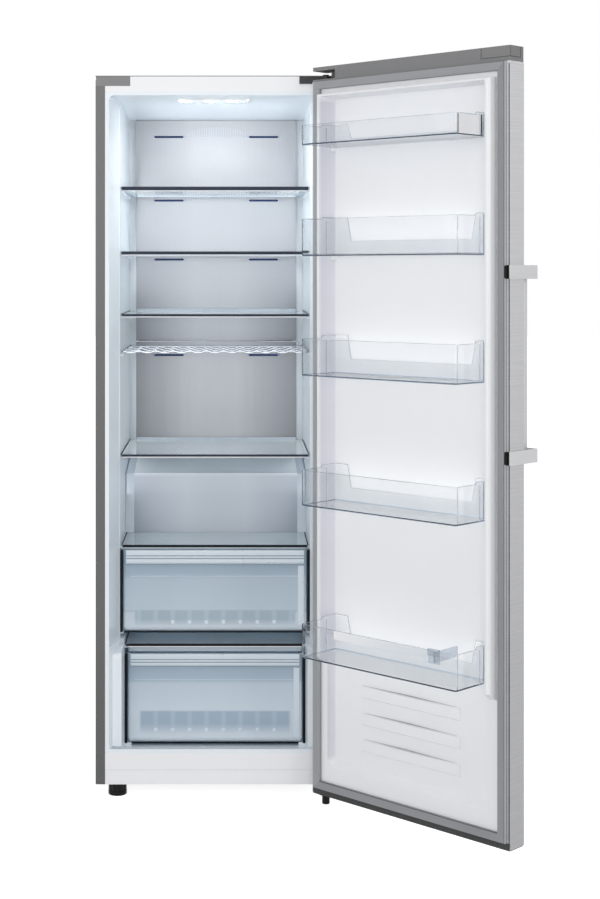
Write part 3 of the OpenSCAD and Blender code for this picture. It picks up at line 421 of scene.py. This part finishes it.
# the inner flank of the door liner's frame lies in soft shade on the hinge side
lining = Look("door_plastic", -DOOR_TURN)
lining.set(Coat_Weight=0.08, Coat_Roughness=0.12)
LINING_WHITE = (240, 241, 243)
lining_along = lining.span(lining.axis("X"), (200 - AXIS_X) / 1000, (300 - AXIS_X) / 1000)
shaded = lining.ramp(lining_along,
                     tones((0.0, LINING_WHITE), (0.345, LINING_WHITE), (0.37, (222, 222, 228)),
                           (0.47, (214, 214, 222)), (0.5, (238, 239, 241))))
recess = lining.ramp(lining.height(0.0, 1.8), greys((0.066, 0), (0.074, 1), (0.971, 1), (0.974, 0)))
shaded = lining.mix(recess, srgb(*LINING_WHITE), shaded)
lining.moulded_over(shaded, srgb(200, 200, 204), 0.02, 0.34, 0.015)
LOOKS["door_plastic"] = lining

# the lamp's cover glows faintly and its bulbs brightly
lens = Look("lamp_glass")
lens.set(Emission_Color=srgb(240, 247, 252), Emission_Strength=0.12)
lens.color(lens.ramp(lens.noise(30), tones((0.3, (235, 242, 248)), (0.7, (245, 250, 255)))))
lens.roughness(lens.span(lens.noise(40), 0.3, 0.7, 0.2, 0.3))
LOOKS["lamp_glass"] = lens
bulb = Look("lamp_bulb")
bulb.set(Emission_Color=srgb(250, 253, 255), Emission_Strength=5.0)
bulb.color(bulb.ramp(bulb.noise(60), tones((0.3, (240, 246, 250)), (0.7, (250, 252, 255)))))
LOOKS["lamp_bulb"] = bulb

# each solid gets the look of its slot, apart from the trims of the shelves and the bottle retainer
for subpart in frame["record"]["subparts"]:
    look_name = subpart["material_slot"]
    if subpart["node"].startswith("shelf_trim"):
        look_name = "trim_plastic"
    elif subpart["node"] == "bottle_retainer":
        look_name = "bin_rim"
    node = frame["nodes"][subpart["node"]]
    node.data.materials.clear()
    node.data.materials.append(LOOKS[look_name].mat)

# ---------------------------------------------------------------- pieces
BODIES = frame["record"]["behaviour"]["bodies"]


def body_of(node):
    """The name of the body that carries a CAD node."""
    return next(name for name, members in BODIES.items() if node in members)


def piece(name, bm, looks, carrier, on_door=False, smooth=30, bevel=0.0):
    """Turns a mesh drawn in mm into a named piece that rides with the body of a CAD node."""
    bmesh.ops.remove_doubles(bm, verts=bm.verts, dist=0.001)
    bmesh.ops.recalc_face_normals(bm, faces=bm.faces)
    bm.transform(DOOR_TO_ROW if on_door else TO_ROW)
    mesh = bpy.data.meshes.new(name)
    bm.to_mesh(mesh)
    bm.free()
    obj = bpy.data.objects.new(name, mesh)
    bpy.context.scene.collection.objects.link(obj)
    for look in looks:
        mesh.materials.append(LOOKS[look].mat)
    if bevel:
        rounder = obj.modifiers.new("edges", "BEVEL")
        rounder.width = bevel / 1000
        rounder.segments = 2
        rounder.limit_method = "ANGLE"
        rounder.angle_limit = math.radians(40)
    for face in mesh.polygons:
        face.use_smooth = True
    mesh.set_sharp_from_angle(angle=math.radians(smooth))
    weigher = obj.modifiers.new("flat_faces", "WEIGHTED_NORMAL")
    weigher.keep_sharp = True
    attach(obj, body_of(carrier))
    return obj


def block(bm, x0, x1, y0, y1, z0, z1, mat=0):
    """A box with its sides along the axes."""
    outline = ((x0, y0), (x1, y0), (x1, y1), (x0, y1))
    corners = [bm.verts.new((x, y, z)) for z in (z0, z1) for x, y in outline]
    for a in ((0, 3, 2, 1), (4, 5, 6, 7), (0, 1, 5, 4), (1, 2, 6, 5), (2, 3, 7, 6), (3, 0, 4, 7)):
        bm.faces.new([corners[k] for k in a]).material_index = mat


def loft(bm, rings, mats):
    """Joins rings of equally many points and closes both ends; mats has a material per band."""
    rows = [[bm.verts.new(p) for p in ring] for ring in rings]
    n = len(rows[0])
    for i in range(len(rows) - 1):
        for k in range(n):
            m = (k + 1) % n
            face = bm.faces.new((rows[i][k], rows[i][m], rows[i + 1][m], rows[i + 1][k]))
            face.material_index = mats[i]
    bm.faces.new(rows[0][::-1]).material_index = mats[0]
    bm.faces.new(rows[-1]).material_index = mats[-1]


def extrude_x(bm, profile, x0, x1):
    """A profile of (y, z) points run from x0 to x1."""
    loft(bm, [[(x0, y, z) for y, z in profile], [(x1, y, z) for y, z in profile]], [0])


def tube(bm, path, r, mat=0):
    """A round wire along a path of points, drawn with ten sides."""
    sides = 10
    pts = [Vector(p) for p in path]
    rings = []
    up = Vector((0, 0, 1))
    for i, p in enumerate(pts):
        a = pts[max(i - 1, 0)]
        b = pts[min(i + 1, len(pts) - 1)]
        along = (b - a).normalized()
        if abs(along.dot(up)) > 0.95:
            up = Vector((1, 0, 0))
        side = along.cross(up).normalized()
        over = side.cross(along).normalized()
        rings.append([tuple(p + r * (math.cos(t) * side + math.sin(t) * over))
                      for t in (2 * math.pi * k / sides for k in range(sides))])
    loft(bm, rings, [mat] * (len(rings) - 1))


def arc_points(cx, cy, r, a0, a1, n):
    """Points on a circle from the angle a0 to a1, in degrees."""
    return [(cx + r * math.cos(math.radians(a0 + (a1 - a0) * i / n)),
             cy + r * math.sin(math.radians(a0 + (a1 - a0) * i / n))) for i in range(n + 1)]


# door bins: thin clear trays with rounded lower edges and tabs at the back of their ends, which
# are TAB_D deep and rise TAB_H over the rim; the back wall drops inward of NOTCH. BINS gives the
# height of each bin's floor and of its front wall
BIN_HW = 233.5
BIN_Y0, BIN_Y1 = -25.0, 103.0
BIN_T = 2.5
BIN_R = 7.0
TAB_D, TAB_H = 50.0, 6.0
NOTCH = BIN_HW - 40
BINS = [(1633, 49), (1365, 90), (1076, 90), (762, 87), (394, 83)]
BIN_LOOKS = ["bin_plastic", "bin_edge", "bin_rim", "bin_floor", "bin_frost"]
CLEAR, EDGE, RIM, BOTTOM, FROST = range(5)


def bin_ring(g, z, h, level):
    """One ring of a bin, g inside its outline: level over its floor, or for None along its rim."""
    hw, y0, y1, r = BIN_HW - g, BIN_Y0 + g, BIN_Y1 - g, max(BIN_R - g, 0.6)
    tab, rim, low = h + TAB_H, h, 0.42 * h
    half = [(NOTCH - 12, y0, low), (NOTCH, y0, tab), (hw, y0, tab), (hw, BIN_Y0 + TAB_D, tab),
            (hw, BIN_Y0 + TAB_D + TAB_H, rim), (hw, 60, rim)]
    half += [(x, y, rim) for x, y in arc_points(hw - r, y1 - r, r, 0, 90, 5)]
    half += [(-FROST_X0, y1, rim), (FROST_X1, y1, rim)]
    ring = half + [(-x, y, t) for x, y, t in half[::-1]]
    return [(x, y, z + (level if level is not None else t)) for x, y, t in ring]


def lowered(ring, drop):
    """A ring moved down."""
    return [(x, y, z - drop) for x, y, z in ring]


def tray_bin(index):
    z, h = BINS[index]
    bm = bmesh.new()
    rim = bin_ring(0, z, h, None)
    rings = [bin_ring(5, z, h, 0), bin_ring(1.5, z, h, 0.5), bin_ring(0.4, z, h, 1.6),
             bin_ring(0, z, h, 3.4), lowered(rim, 21.0), lowered(rim, 1.2),
             bin_ring(0.7, z, h, None), bin_ring(BIN_T - 0.7, z, h, None),
             lowered(bin_ring(BIN_T, z, h, None), 1.2), bin_ring(BIN_T, z, h, BIN_T + 4.5),
             bin_ring(BIN_T + 1.5, z, h, BIN_T + 1), bin_ring(BIN_T + 5, z, h, BIN_T)]
    loft(bm, rings, [CLEAR, EDGE, EDGE, CLEAR, CLEAR, RIM, RIM, RIM, CLEAR, CLEAR, CLEAR])
    bm.faces.ensure_lookup_table()
    for face in bm.faces:
        middle = face.calc_center_median()
        if index == 0 and middle.z < z + 0.1:
            face.material_index = BOTTOM
        if middle.y < BIN_Y0 + 3 and face.material_index == RIM:
            face.material_index = CLEAR
        on_front = middle.y > BIN_Y1 - 0.1 and FROST_X0 < middle.x < FROST_X1
        if index == 4 and on_front and middle.z > z + h - 20:
            face.material_index = FROST
    tray = piece(f"bin_tray_{index + 1}", bm, BIN_LOOKS, f"door_bin_{index + 1}", True)
    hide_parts(f"door_bin_{index + 1}")

    # upright rails and tabs inside its ends
    bm = bmesh.new()
    for side in (-1, 1):
        x0, x1 = sorted((side * (BIN_HW - BIN_T - 1.2), side * (BIN_HW - BIN_T + 0.2)))
        block(bm, x0, x1, 12, 13.5, z + 5, z + h - 2)
        if side < 0:
            block(bm, x0, x1, BIN_Y1 - 9, BIN_Y1 - 7.6, z + 4, z + h - 2)
            block(bm, x0, x1, -5, -2, z + 5, z + h + 3, 1)
    rails = piece(f"bin_rails_{index + 1}", bm, ["bin_rim", "bin_edge"], f"door_bin_{index + 1}",
                  True, bevel=0.4)


for number in range(len(BINS)):
    tray_bin(number)

# the top bin's free end is closed by an opaque white plate with dark edges
bm = bmesh.new()
block(bm, -BIN_HW - 1.3, -BIN_HW - 0.1, 15, BIN_Y1 - 7.8, 1636, 1680.5)
block(bm, -BIN_HW - 1.4, -BIN_HW - 0.1, BIN_Y1 - 7.7, BIN_Y1 - 5.8, 1636, 1680.5, 1)
block(bm, -BIN_HW - 1.4, -BIN_HW - 0.1, 7, 11, 1636, 1682, 1)
end_plate = piece("bin_end_plate", bm, ["frame_plastic", "glass_edge"], "door_bin_1",
                  True, bevel=0.5)


# drawers: pale clear trays with a grip whose grooves are painted in shade, rounded lower edges and
# ribs on the floor
DRAWER_Y0, DRAWER_Y1 = 130.0, 342.0
DRAWER_T = 2.5


def drawer_ring(hw, g, level):
    """A level ring with round corners, g inside the drawer's outline."""
    r = max(9 - g, 1.0)
    x, y0, y1 = hw - g, DRAWER_Y0 + g, DRAWER_Y1 - g
    pts = arc_points(x - r, y1 - r, r, 0, 90, 4) + arc_points(r - x, y1 - r, r, 90, 180, 4)
    pts += arc_points(r - x, y0 + r, r, 180, 270, 4) + arc_points(x - r, y0 + r, r, 270, 360, 4)
    return [(px, py, level) for px, py in pts]


def tray_drawer(name, hw, z0, z1, wall, grip_h, knobs, knob_z):
    """A drawer of half width hw from z0 to z1, between liner walls at wall to each side."""
    bm = bmesh.new()
    rings = []
    mats = []
    low_r = 15.0
    for k in range(6):
        t = math.radians(90 * k / 5)
        rings.append(drawer_ring(hw, low_r * (1 - math.sin(t)), z0 + low_r * (1 - math.cos(t))))
        mats.append(0)
    rings += [drawer_ring(hw, 0, z1 - 1), drawer_ring(hw, 0.7, z1),
              drawer_ring(hw, DRAWER_T - 0.7, z1), drawer_ring(hw, DRAWER_T, z1 - 1)]
    mats += [1, 1, 1, 0]
    for k in range(6):
        t = math.radians(90 - 90 * k / 5)
        r = low_r - DRAWER_T
        rings.append(drawer_ring(hw, DRAWER_T + r * (1 - math.sin(t)),
                                 z0 + DRAWER_T + r * (1 - math.cos(t))))
        mats.append(0)
    mats.pop()
    loft(bm, rings, mats)
    tray = piece(f"{name}_tray", bm, [name, "drawer_light"], name)
    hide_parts(name)

    # grip along the front's top edge: a light lip, ridges and a dark groove
    bm = bmesh.new()
    y = DRAWER_Y0 - 10
    lip = [(DRAWER_Y0 + 0.5, z1), (y + 2, z1), (y, z1 - 2), (y, z1 - 12), (y + 1, z1 - 13),
           (y + 1, z1 - 15), (y, z1 - 16), (y, z1 - 19), (y + 1.2, z1 - 20), (y + 1.2, z1 - 22),
           (y, z1 - 23), (y, z1 - grip_h + 4), (y + 3, z1 - grip_h),
           (DRAWER_Y0 + 0.5, z1 - grip_h)]
    extrude_x(bm, lip, 9 - hw, hw - 9)
    grip = piece(f"{name}_grip", bm, ["drawer_light"], name, smooth=20, bevel=0.4)
    # painted shade: dark strips in the two grooves between the ridges and in the groove under the
    # grip
    bm = bmesh.new()
    for level in (13, 20):
        block(bm, 10 - hw, hw - 10, y + 0.5, y + 1.3, z1 - level - 2, z1 - level)
    block(bm, 10 - hw, hw - 10, y + 3, DRAWER_Y0 - 0.2, z1 - grip_h - 1.2, z1 - grip_h - 0.1)
    groove_shade = piece(f"{name}_stripes", bm, ["drawer_shade"], name)

    # ribs on the floor, and on the front wall flat round knobs, a step line and a light strip near
    # its right edge that paints a reflection
    bm = bmesh.new()
    count = int((hw - 30) // KNOB_PITCH)
    for k in range(-count, count + 1):
        x = KNOB_PITCH * k
        block(bm, x - 1.5, x + 1.5, DRAWER_Y0 + 14, DRAWER_Y1 - 14,
              z0 + DRAWER_T - 0.5, z0 + DRAWER_T + 2.5)
    circle = [(math.cos(a), math.sin(a)) for a in (2 * math.pi * i / 14 for i in range(14))]
    for x in knobs:
        loft(bm, [[(x + r * px, DRAWER_Y0 + dy, z0 + knob_z + 1.1 * r * pz) for px, pz in circle]
                  for r, dy in ((5.2, 0.1), (4.6, -0.3), (2.0, -0.6))], [0, 0])
    block(bm, 20 - hw, hw - 20, DRAWER_Y0 - 0.5, DRAWER_Y0 + 0.2, z1 - 69, z1 - 67.5)
    # painted reflection: the light strip near the right edge of the front
    block(bm, hw - 24, hw - 9, DRAWER_Y0 - 0.3, DRAWER_Y0 + 0.2, z0 + 16, z1 - grip_h - 6)
    ribs = piece(f"{name}_ribs", bm, ["drawer_light"], name, bevel=0.3)

    # painted shade: dark strips fill the gaps beside and under the drawer, where the shadow lies
    bm = bmesh.new()
    for side in (-1, 1):
        x0, x1 = sorted((side * (hw + 0.2), side * wall))
        block(bm, x0, x1, 131, 134, z0 - 2, z1 - 1)
    block(bm, 4 - hw, hw - 4, 136, 139, z0 - 4.5, z0 - 0.2)
    gap_shade = piece(f"{name}_lips", bm, ["black_edge"], name, bevel=0.5)


tray_drawer("drawer_upper", 239.7, 392.5, 604.5, 246.8, 35.0, range(-110, 155, 44), 24.5)
tray_drawer("drawer_lower", 228.1, 103.4, 335.4, 235.1, 31.0, range(-154, 155, 44), 33.5)

# bottle rack of round wires: three waved ones, a frame and a raised rail at the back
RACK_Z, RACK_HW, RACK_BACK, WIRE_R = 1117.0, 243.5, 513.0, 2.2
WAVE_PITCH, WAVE_STEPS = 44.0, 126
bm = bmesh.new()
for row in (138, 265, 380):
    wave = []
    for k in range(-WAVE_STEPS, WAVE_STEPS + 1):
        x = 241.5 * k / WAVE_STEPS
        lift = 6 * (1 - math.sqrt(math.cos(math.pi * x / WAVE_PITCH) ** 2 + 0.01))
        ends = max(0.0, (abs(x) - 235) / 6.5)
        wave.append((x, row, RACK_Z + lift * (1 - ends) + 3 * ends))
    tube(bm, wave, WIRE_R)
for side in (-1, 1):
    tube(bm, [(side * (RACK_HW - 2), 135, RACK_Z + 3), (side * (RACK_HW - 2), 300, RACK_Z + 3),
              (side * (RACK_HW - 2), RACK_BACK, RACK_Z + 3)], WIRE_R, mat=1)
for y in (RACK_BACK - 3, 190):
    tube(bm, [(-RACK_HW, y, RACK_Z), (0, y, RACK_Z), (RACK_HW, y, RACK_Z)], WIRE_R)
rail = [(x, z) for x, z in arc_points(-RACK_HW + 26, RACK_Z, 15, 180, 90, 6)]
rail += [(-x, z) for x, z in rail[::-1]]
tube(bm, [(x, RACK_BACK - 3, z) for x, z in rail], WIRE_R)
rack = piece("rack_wires", bm, ["rack_chrome", "rack_dark"], "wine_rack", smooth=50)
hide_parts("wine_rack")

# gasket: a mitred frame with a soft outer fold. Each row of its section gives the inset, the depth
# and the material of the strip that follows it; the sides are drawn bottom first, then latch, top
# and hinge side. Its light strips are painted highlights on the fold, its dark lines painted shadow
# along its edge and creases, and its dark inner strips painted shade; the bottom and latch sides
# are painted in shade too
GASKET_X, GASKET_Z0, GASKET_Z1 = 288.0, 46.0, 1800.0
GASKET_LOOKS = ["gasket_rubber", "gasket_dark", "gasket_highlight", "gasket_line"]
RUBBER, IN_SHADE, HIGHLIGHT, SHADOW_LINE = range(4)
SECTION = [(0, -11, SHADOW_LINE), (0, -10, HIGHLIGHT), (-0.6, -7, HIGHLIGHT), (0, -2.4, SHADOW_LINE),
           (0.9, -1.2, RUBBER), (4.0, -1.0, RUBBER), (16.4, -1.0, RUBBER), (18.6, -1.8, SHADOW_LINE),
           (20.0, -4.0, IN_SHADE), (19.4, -7.5, IN_SHADE), (20.0, -11, RUBBER)]
INNER_GROOVE = 7
bm = bmesh.new()
loops = []
for g, y, _ in SECTION:
    half, low, high = GASKET_X - g, GASKET_Z0 + g, GASKET_Z1 - g
    corners = [(half, low), (-half, low), (-half, high), (half, high)]
    loops.append([bm.verts.new((x, y, z)) for x, z in corners])
for k in range(len(SECTION)):
    m = (k + 1) % len(SECTION)
    for c in range(4):
        d = (c + 1) % 4
        bottom_or_latch = c in (0, 1)
        mat = SECTION[k][2]
        # painted shade: on the bottom and latch sides the plain rubber takes the shaded tone, and
        # only there the inner groove keeps its dark shadow line
        if mat == RUBBER and bottom_or_latch:
            mat = IN_SHADE
        if k == INNER_GROOVE and not bottom_or_latch:
            mat = RUBBER
        bm.faces.new((loops[k][c], loops[k][d], loops[m][d], loops[m][c])).material_index = mat
seal = piece("seal_strip", bm, GASKET_LOOKS, "gasket", True)
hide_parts("gasket")

# dark seam on the fold of the door's steel, and the dark joints round the cover in the top cap
COVER_Z0, COVER_Z1 = 1812.0, 1834.0
bm = bmesh.new()
block(bm, -296.3, -293.9, -11.1, -10.7, 42, 1795)
seam = piece("door_seam", bm, ["black_edge"], "door_skin", True, bevel=0.15)
bm = bmesh.new()
block(bm, -219.0, -217.4, -11.1, -10.3, COVER_Z0 - 1.6, COVER_Z1)
block(bm, -299.0, -219.0, -11.1, -10.3, COVER_Z0 - 1.6, COVER_Z0 - 0.1)
block(bm, -299.2, -298.5, -11.4, -10.2, COVER_Z0 - 1.6, COVER_Z1)
block(bm, -298.9, -298.0, -49.0, -11.4, COVER_Z0 - 1.6, COVER_Z0 - 0.1)
block(bm, -298.9, -298.0, -50.6, -49.1, COVER_Z0 - 1.6, COVER_Z1)
joints = piece("cap_joints", bm, ["gasket_line"], "door_cap_cover", True)

# grey shadow lines along the tops of the three ribs low in the door's liner, thinner at their ends;
# RIB_LINE gives x, front, back, and the lower and upper edge over the rib's top
RIB_TOPS = (191.0, 255.0, 321.0)
RIB_LINE = ((-140, -21.9, -22.3, 0.0, 0.4), (0, -21.7, -25.0, -0.4, 1.6),
            (140, -21.9, -22.3, 0.0, 0.4))
bm = bmesh.new()
for top in RIB_TOPS:
    loft(bm, [[(x, front, top + hi), (x, back, top + hi), (x, back, top + lo), (x, front, top + lo)]
              for x, front, back, lo, hi in RIB_LINE], [0, 0])
lines = piece("liner_rib_lines", bm, ["rib_line"], "door_liner", True)

# dark strips on the front and side edges of the glass, and a light lip under the front edge;
# SHELVES gives half the width, the top's height, the back, and the front strip's drop and rise
SHELVES = [("shelf_glass_1", 245.5, 1547, 521, 7.5, 2.0),
           ("shelf_glass_2", 245.5, 1379, 521, 6.5, 1.5),
           ("shelf_glass_3", 245.5, 1217, 521, 5.5, 0.6),
           ("shelf_glass_4", 245.5, 852, 521, 5.0, 0.6),
           ("crisper_glass_upper", 243.0, 617, 342, 5.5, 0.6),
           ("crisper_glass_lower", 233.9, 360, 342, 5.5, 0.6)]
for node, half, level, back, drop, rise in SHELVES:
    dark = "black_edge" if node.startswith("crisper") else "glass_edge"
    bm = bmesh.new()
    nose = [(128.2, level + rise - 0.6), (129.0, level + rise), (131.4, level + rise),
            (131.4, level + 0.1), (129.9, level + 0.1), (129.9, level - drop),
            (128.6, level - drop), (128.2, level - drop + 0.8)]
    extrude_x(bm, nose, 3 - half, half - 3)
    for side in (-1, 1):
        x0, x1 = sorted((side * (half - 2.5), side * (half + 0.2)))
        block(bm, x0, x1, 133, back - 3, level + 0.05, level + 0.9)
    strip = piece(f"{node}_edge", bm, [dark], node, smooth=35)
    bm = bmesh.new()
    block(bm, 6 - half, half - 6, 129.2, 129.85, level - drop - 2.4, level - drop - 0.1)
    pale = "trim_plastic" if node == "crisper_glass_upper" else "frame_plastic"
    light = piece(f"{node}_lip", bm, [pale], node, bevel=0.2)

# dark plates behind the slots of the duct, with their front at DUCT_Y, and a fan of short upright
# ribs between the slots of the two upper levels
SLOT_LEVELS = (1710.7, 1530, 1362.5, 1091)
DUCT_Y = 530.4
bm = bmesh.new()
for level in SLOT_LEVELS:
    for side in (-1, 1):
        x0, x1 = sorted((side * 92.0, side * 176.6))
        loft(bm, [[(x, DUCT_Y, level - h), (x, DUCT_Y, level + h),
                   (x, DUCT_Y + 0.8, level + h), (x, DUCT_Y + 0.8, level - h)]
                  for x, h in ((x0, 1.0), (x0 + 3, 2.9), (x1 - 3, 2.9), (x1, 1.0))], [0, 0, 0])
slots = piece("duct_slots", bm, ["slot_blue"], "duct_panel", smooth=20)
bm = bmesh.new()
for level in SLOT_LEVELS[:2]:
    for k in range(-12, 13):
        x = 6.8 * k
        top = level + 4 + 24 * math.sqrt(1 - (k / 12.4) ** 2)
        block(bm, x - 0.9, x + 0.9, DUCT_Y - 0.8, DUCT_Y - 0.1, level - 1, top)
ticks = piece("duct_ticks", bm, ["trim_plastic"], "duct_panel")

# the lamp's bar and its three bulbs
bm = bmesh.new()
BULB_Y = 72
bar = ((-88, 58), (86, 58), (86, 70), (-88, 70))
loft(bm, [[(x, y, z) for x, y in bar] for z in (1767.4, 1766.0)], [0])
for x in (-74, -12, 44):
    rings = []
    for r, z in ((19, 1767.2), (18, 1766.0), (14, 1763.8), (7, 1762.7), (0.5, 1762.5)):
        rings.append([(x + r * math.cos(a), BULB_Y + 0.55 * r * math.sin(a), z)
                      for a in (2 * math.pi * k / 20 for k in range(20))])
    loft(bm, rings, [0] * 4)
bulbs = piece("lamp_bulbs", bm, ["lamp_bulb"], "lamp_lens", smooth=60)

# corner plates beside the machine cover close the foam off at the back
MACHINE_HW, MACHINE_Z1 = 279.0, 349.7
bm = bmesh.new()
for side in (-1, 1):
    x0, x1 = sorted((side * (MACHINE_HW + 0.2), side * 298.9))
    block(bm, x0, x1, 599.3, 599.9, 37, MACHINE_Z1)
corners = piece("machine_corners", bm, ["back_steel"], "back_sheet", bevel=0.2)

# fine shadow line along the joint between the plinth and the rail over it
bm = bmesh.new()
JOINT_Z = 71.6
loft(bm, [[(x, 0.6, JOINT_Z), (x, 0.6, JOINT_Z + t), (x, 0.2, JOINT_Z + t), (x, 0.2, JOINT_Z)]
          for x, t in ((-297, 0.4), (0, 0.7), (297, 0.4))], [0, 0])
joint = piece("plinth_joint", bm, ["rib_line"], "plinth")

# ledges beside the lower drawer, whose rounded tops slope down to the walls
bm = bmesh.new()
ledge = [(20.5, 125), (20.5, 352), (23, 359), (29, 362), (110, 362), (110, 125)]
for side in (-1, 1):
    inner, outer = side * 236.0, side * 259.0
    loft(bm, [[(inner, y, z) for y, z in ledge],
              [(outer, y, z - (4 if z > 340 else 0)) for y, z in ledge],
              [(outer + side * 3, y + 4, z - (12 if z > 340 else 0)) for y, z in ledge]], [0, 0])
ledges = piece("liner_ledges", bm, ["liner_plastic"], "inner_liner", smooth=50)

# the ribbed grip of the left foot
FOOT_X, FOOT_Y, GRIP_STEPS = -247.0, 40.0, 48
bm = bmesh.new()
ring = []
for k in range(GRIP_STEPS):
    a = 2 * math.pi * k / GRIP_STEPS
    r = 23.0 if k % 4 in (0, 1) else 21.6
    ring.append((FOOT_X + r * math.cos(a), FOOT_Y + r * math.sin(a)))
loft(bm, [[(x, y, z) for x, y in ring] for z in (10.1, 33.0)], [0])
grip = piece("foot_grip", bm, ["black_plastic"], "foot_left", smooth=25)


def drawn_in(ring, cx, cz, sx, sz):
    """A ring of (x, z) points drawn in towards a centre."""
    return [(cx + (x - cx) * sx, cz + (z - cz) * sz) for x, z in ring]


# dark fixings between the handle's brackets and the door's fold, with their middle at FIXING_X;
# CORNERS gives the centre and the first angle of each rounded corner
FIXING_X = -281.5
CORNERS = ((5.5, 8, 0), (-5.5, 8, 90), (-5.5, -8, 180), (5.5, -8, 270))
for name, level in (("handle_bracket_upper", 1327.0), ("handle_bracket_lower", 909.0)):
    bm = bmesh.new()
    ring = []
    for dx, dz, start in CORNERS:
        ring += arc_points(FIXING_X + dx, level + dz, 7, start, start + 90, 4)
    crown = drawn_in(ring, FIXING_X, level, 0.8, 0.85)
    loft(bm, [[(x, -7.2, z) for x, z in ring], [(x, -3.5, z) for x, z in ring],
              [(x, -2.4, z) for x, z in crown]], [0, 0])
    inner = drawn_in(ring, FIXING_X, level, 0.42, 0.62)
    loft(bm, [[(x, -2.5, z) for x, z in inner], [(x, -1.9, z) for x, z in inner]], [1])
    block(bm, -298, -291, -7.2, -5.6, level - 15.5, level + 15.5)
    cap = piece(f"{name}_fixing", bm, ["black_plastic", "gasket_dark"], name, True, smooth=35)


# ---------------------------------------------------------------- stage and light
FLOOR = 30.0
floor_mesh = bpy.data.meshes.new("floor")
floor_corners = [(x * FLOOR, y * FLOOR, 0) for x, y in ((-1, -1), (1, -1), (1, 1), (-1, 1))]
floor_mesh.from_pydata(floor_corners, [], [(0, 1, 2, 3)])
floor = bpy.data.objects.new("floor", floor_mesh)
floor.location.z = -0.0005
bpy.context.scene.collection.objects.link(floor)


def seen_ray(tree):
    """1 for rays from the camera and for those that metal and glass send on."""
    path = tree.nodes.new("ShaderNodeLightPath")
    most = None
    for name in ("Is Camera Ray", "Is Glossy Ray", "Is Transmission Ray"):
        if most is None:
            most = path.outputs[name]
            continue
        node = tree.nodes.new("ShaderNodeMath")
        node.operation = "MAXIMUM"
        tree.links.new(most, node.inputs[0])
        tree.links.new(path.outputs[name], node.inputs[1])
        most = node.outputs[0]
    return most


# the matt floor glows a little towards the camera, so that it nearly melts into the white world
floor_look = Look("floor")
floor_look.color(floor_look.ramp(floor_look.noise(1.2), greys((0.3, 0.78), (0.7, 0.8))))
floor_look.set(Roughness=0.9, Specular_IOR_Level=0.0)
glow = floor_look.add("ShaderNodeEmission")
glow.inputs["Color"].default_value = WHITE
glow.inputs["Strength"].default_value = 0.87
both = floor_look.add("ShaderNodeAddShader")
floor_look.link(floor_look.bsdf.outputs[0], both.inputs[0])
floor_look.link(glow.outputs[0], both.inputs[1])
either = floor_look.add("ShaderNodeMixShader")
floor_look.link(seen_ray(floor_look.mat.node_tree), either.inputs[0])
floor_look.link(floor_look.bsdf.outputs[0], either.inputs[1])
floor_look.link(both.outputs[0], either.inputs[2])
floor_look.link(either.outputs[0], floor_look.out.inputs["Surface"])
floor_mesh.materials.append(floor_look.mat)

# the world is white where it is seen and a weaker fill light for the rest
world = bpy.data.worlds.new("studio")
bpy.context.scene.world = world
world.use_nodes = True
tree = world.node_tree
tree.nodes.clear()
seen = tree.nodes.new("ShaderNodeBackground")
seen.inputs["Color"].default_value = WHITE
seen.inputs["Strength"].default_value = 1.0
fill = tree.nodes.new("ShaderNodeBackground")
fill.inputs["Color"].default_value = (0.98, 0.99, 1.0, 1)
fill.inputs["Strength"].default_value = 0.40
mixed = tree.nodes.new("ShaderNodeMixShader")
world_out = tree.nodes.new("ShaderNodeOutputWorld")
tree.links.new(seen_ray(tree), mixed.inputs[0])
tree.links.new(fill.outputs[0], mixed.inputs[1])
tree.links.new(seen.outputs[0], mixed.inputs[2])
tree.links.new(mixed.outputs[0], world_out.inputs["Surface"])
bpy.context.scene.view_settings.view_transform = "Standard"


def area_light(name, place, target, size, watts, color=(1, 1, 1)):
    """A rectangular lamp at place that points at target, both in metres in the row frame."""
    data = bpy.data.lights.new(name, "AREA")
    data.shape = "RECTANGLE"
    data.size, data.size_y = size
    data.energy = watts
    data.color = color
    light = bpy.data.objects.new(name, data)
    light.location = place
    light.rotation_euler = (Vector(target) - Vector(place)).to_track_quat("-Z", "Y").to_euler()
    bpy.context.scene.collection.objects.link(light)
    return light


area_light("front", (-0.9, -5.2, 1.65), (-0.28, 0.2, 0.9), (3.2, 2.6), 76)
area_light("left", (-3.6, -1.8, 2.2), (-0.3, 0.2, 1.0), (2.0, 2.2), 17)
area_light("right", (3.0, -3.2, 1.9), (0.1, -0.2, 1.1), (1.4, 1.4), 25)
area_light("top", (-0.2, -0.6, 4.2), (-0.28, 0.0, 1.0), (2.4, 2.4), 20)
area_light("cabinet_lamp", TO_ROW @ Vector((0, 102, 1758)), TO_ROW @ Vector((0, 250, 900)),
           (0.16, 0.07), 0.9, (1.0, 0.99, 0.975))
# soft strips along both inner walls, which neither the camera nor metal and glass see
for level, aim, tall, watts in ((1330, 1310, 0.56, 1.7), (930, 930, 0.42, 0.56)):
    for turn, share in ((-1, 1.15), (1, 0.95)):
        place, target = Vector((turn * 243, 345, level)), Vector((0, 345, aim))
        strip = area_light("inside_fill", TO_ROW @ place, TO_ROW @ target,
                           (0.34, tall), watts * share, (1.0, 0.985, 0.965))
        strip.visible_camera = False
        strip.visible_glossy = False
        strip.visible_transmission = False
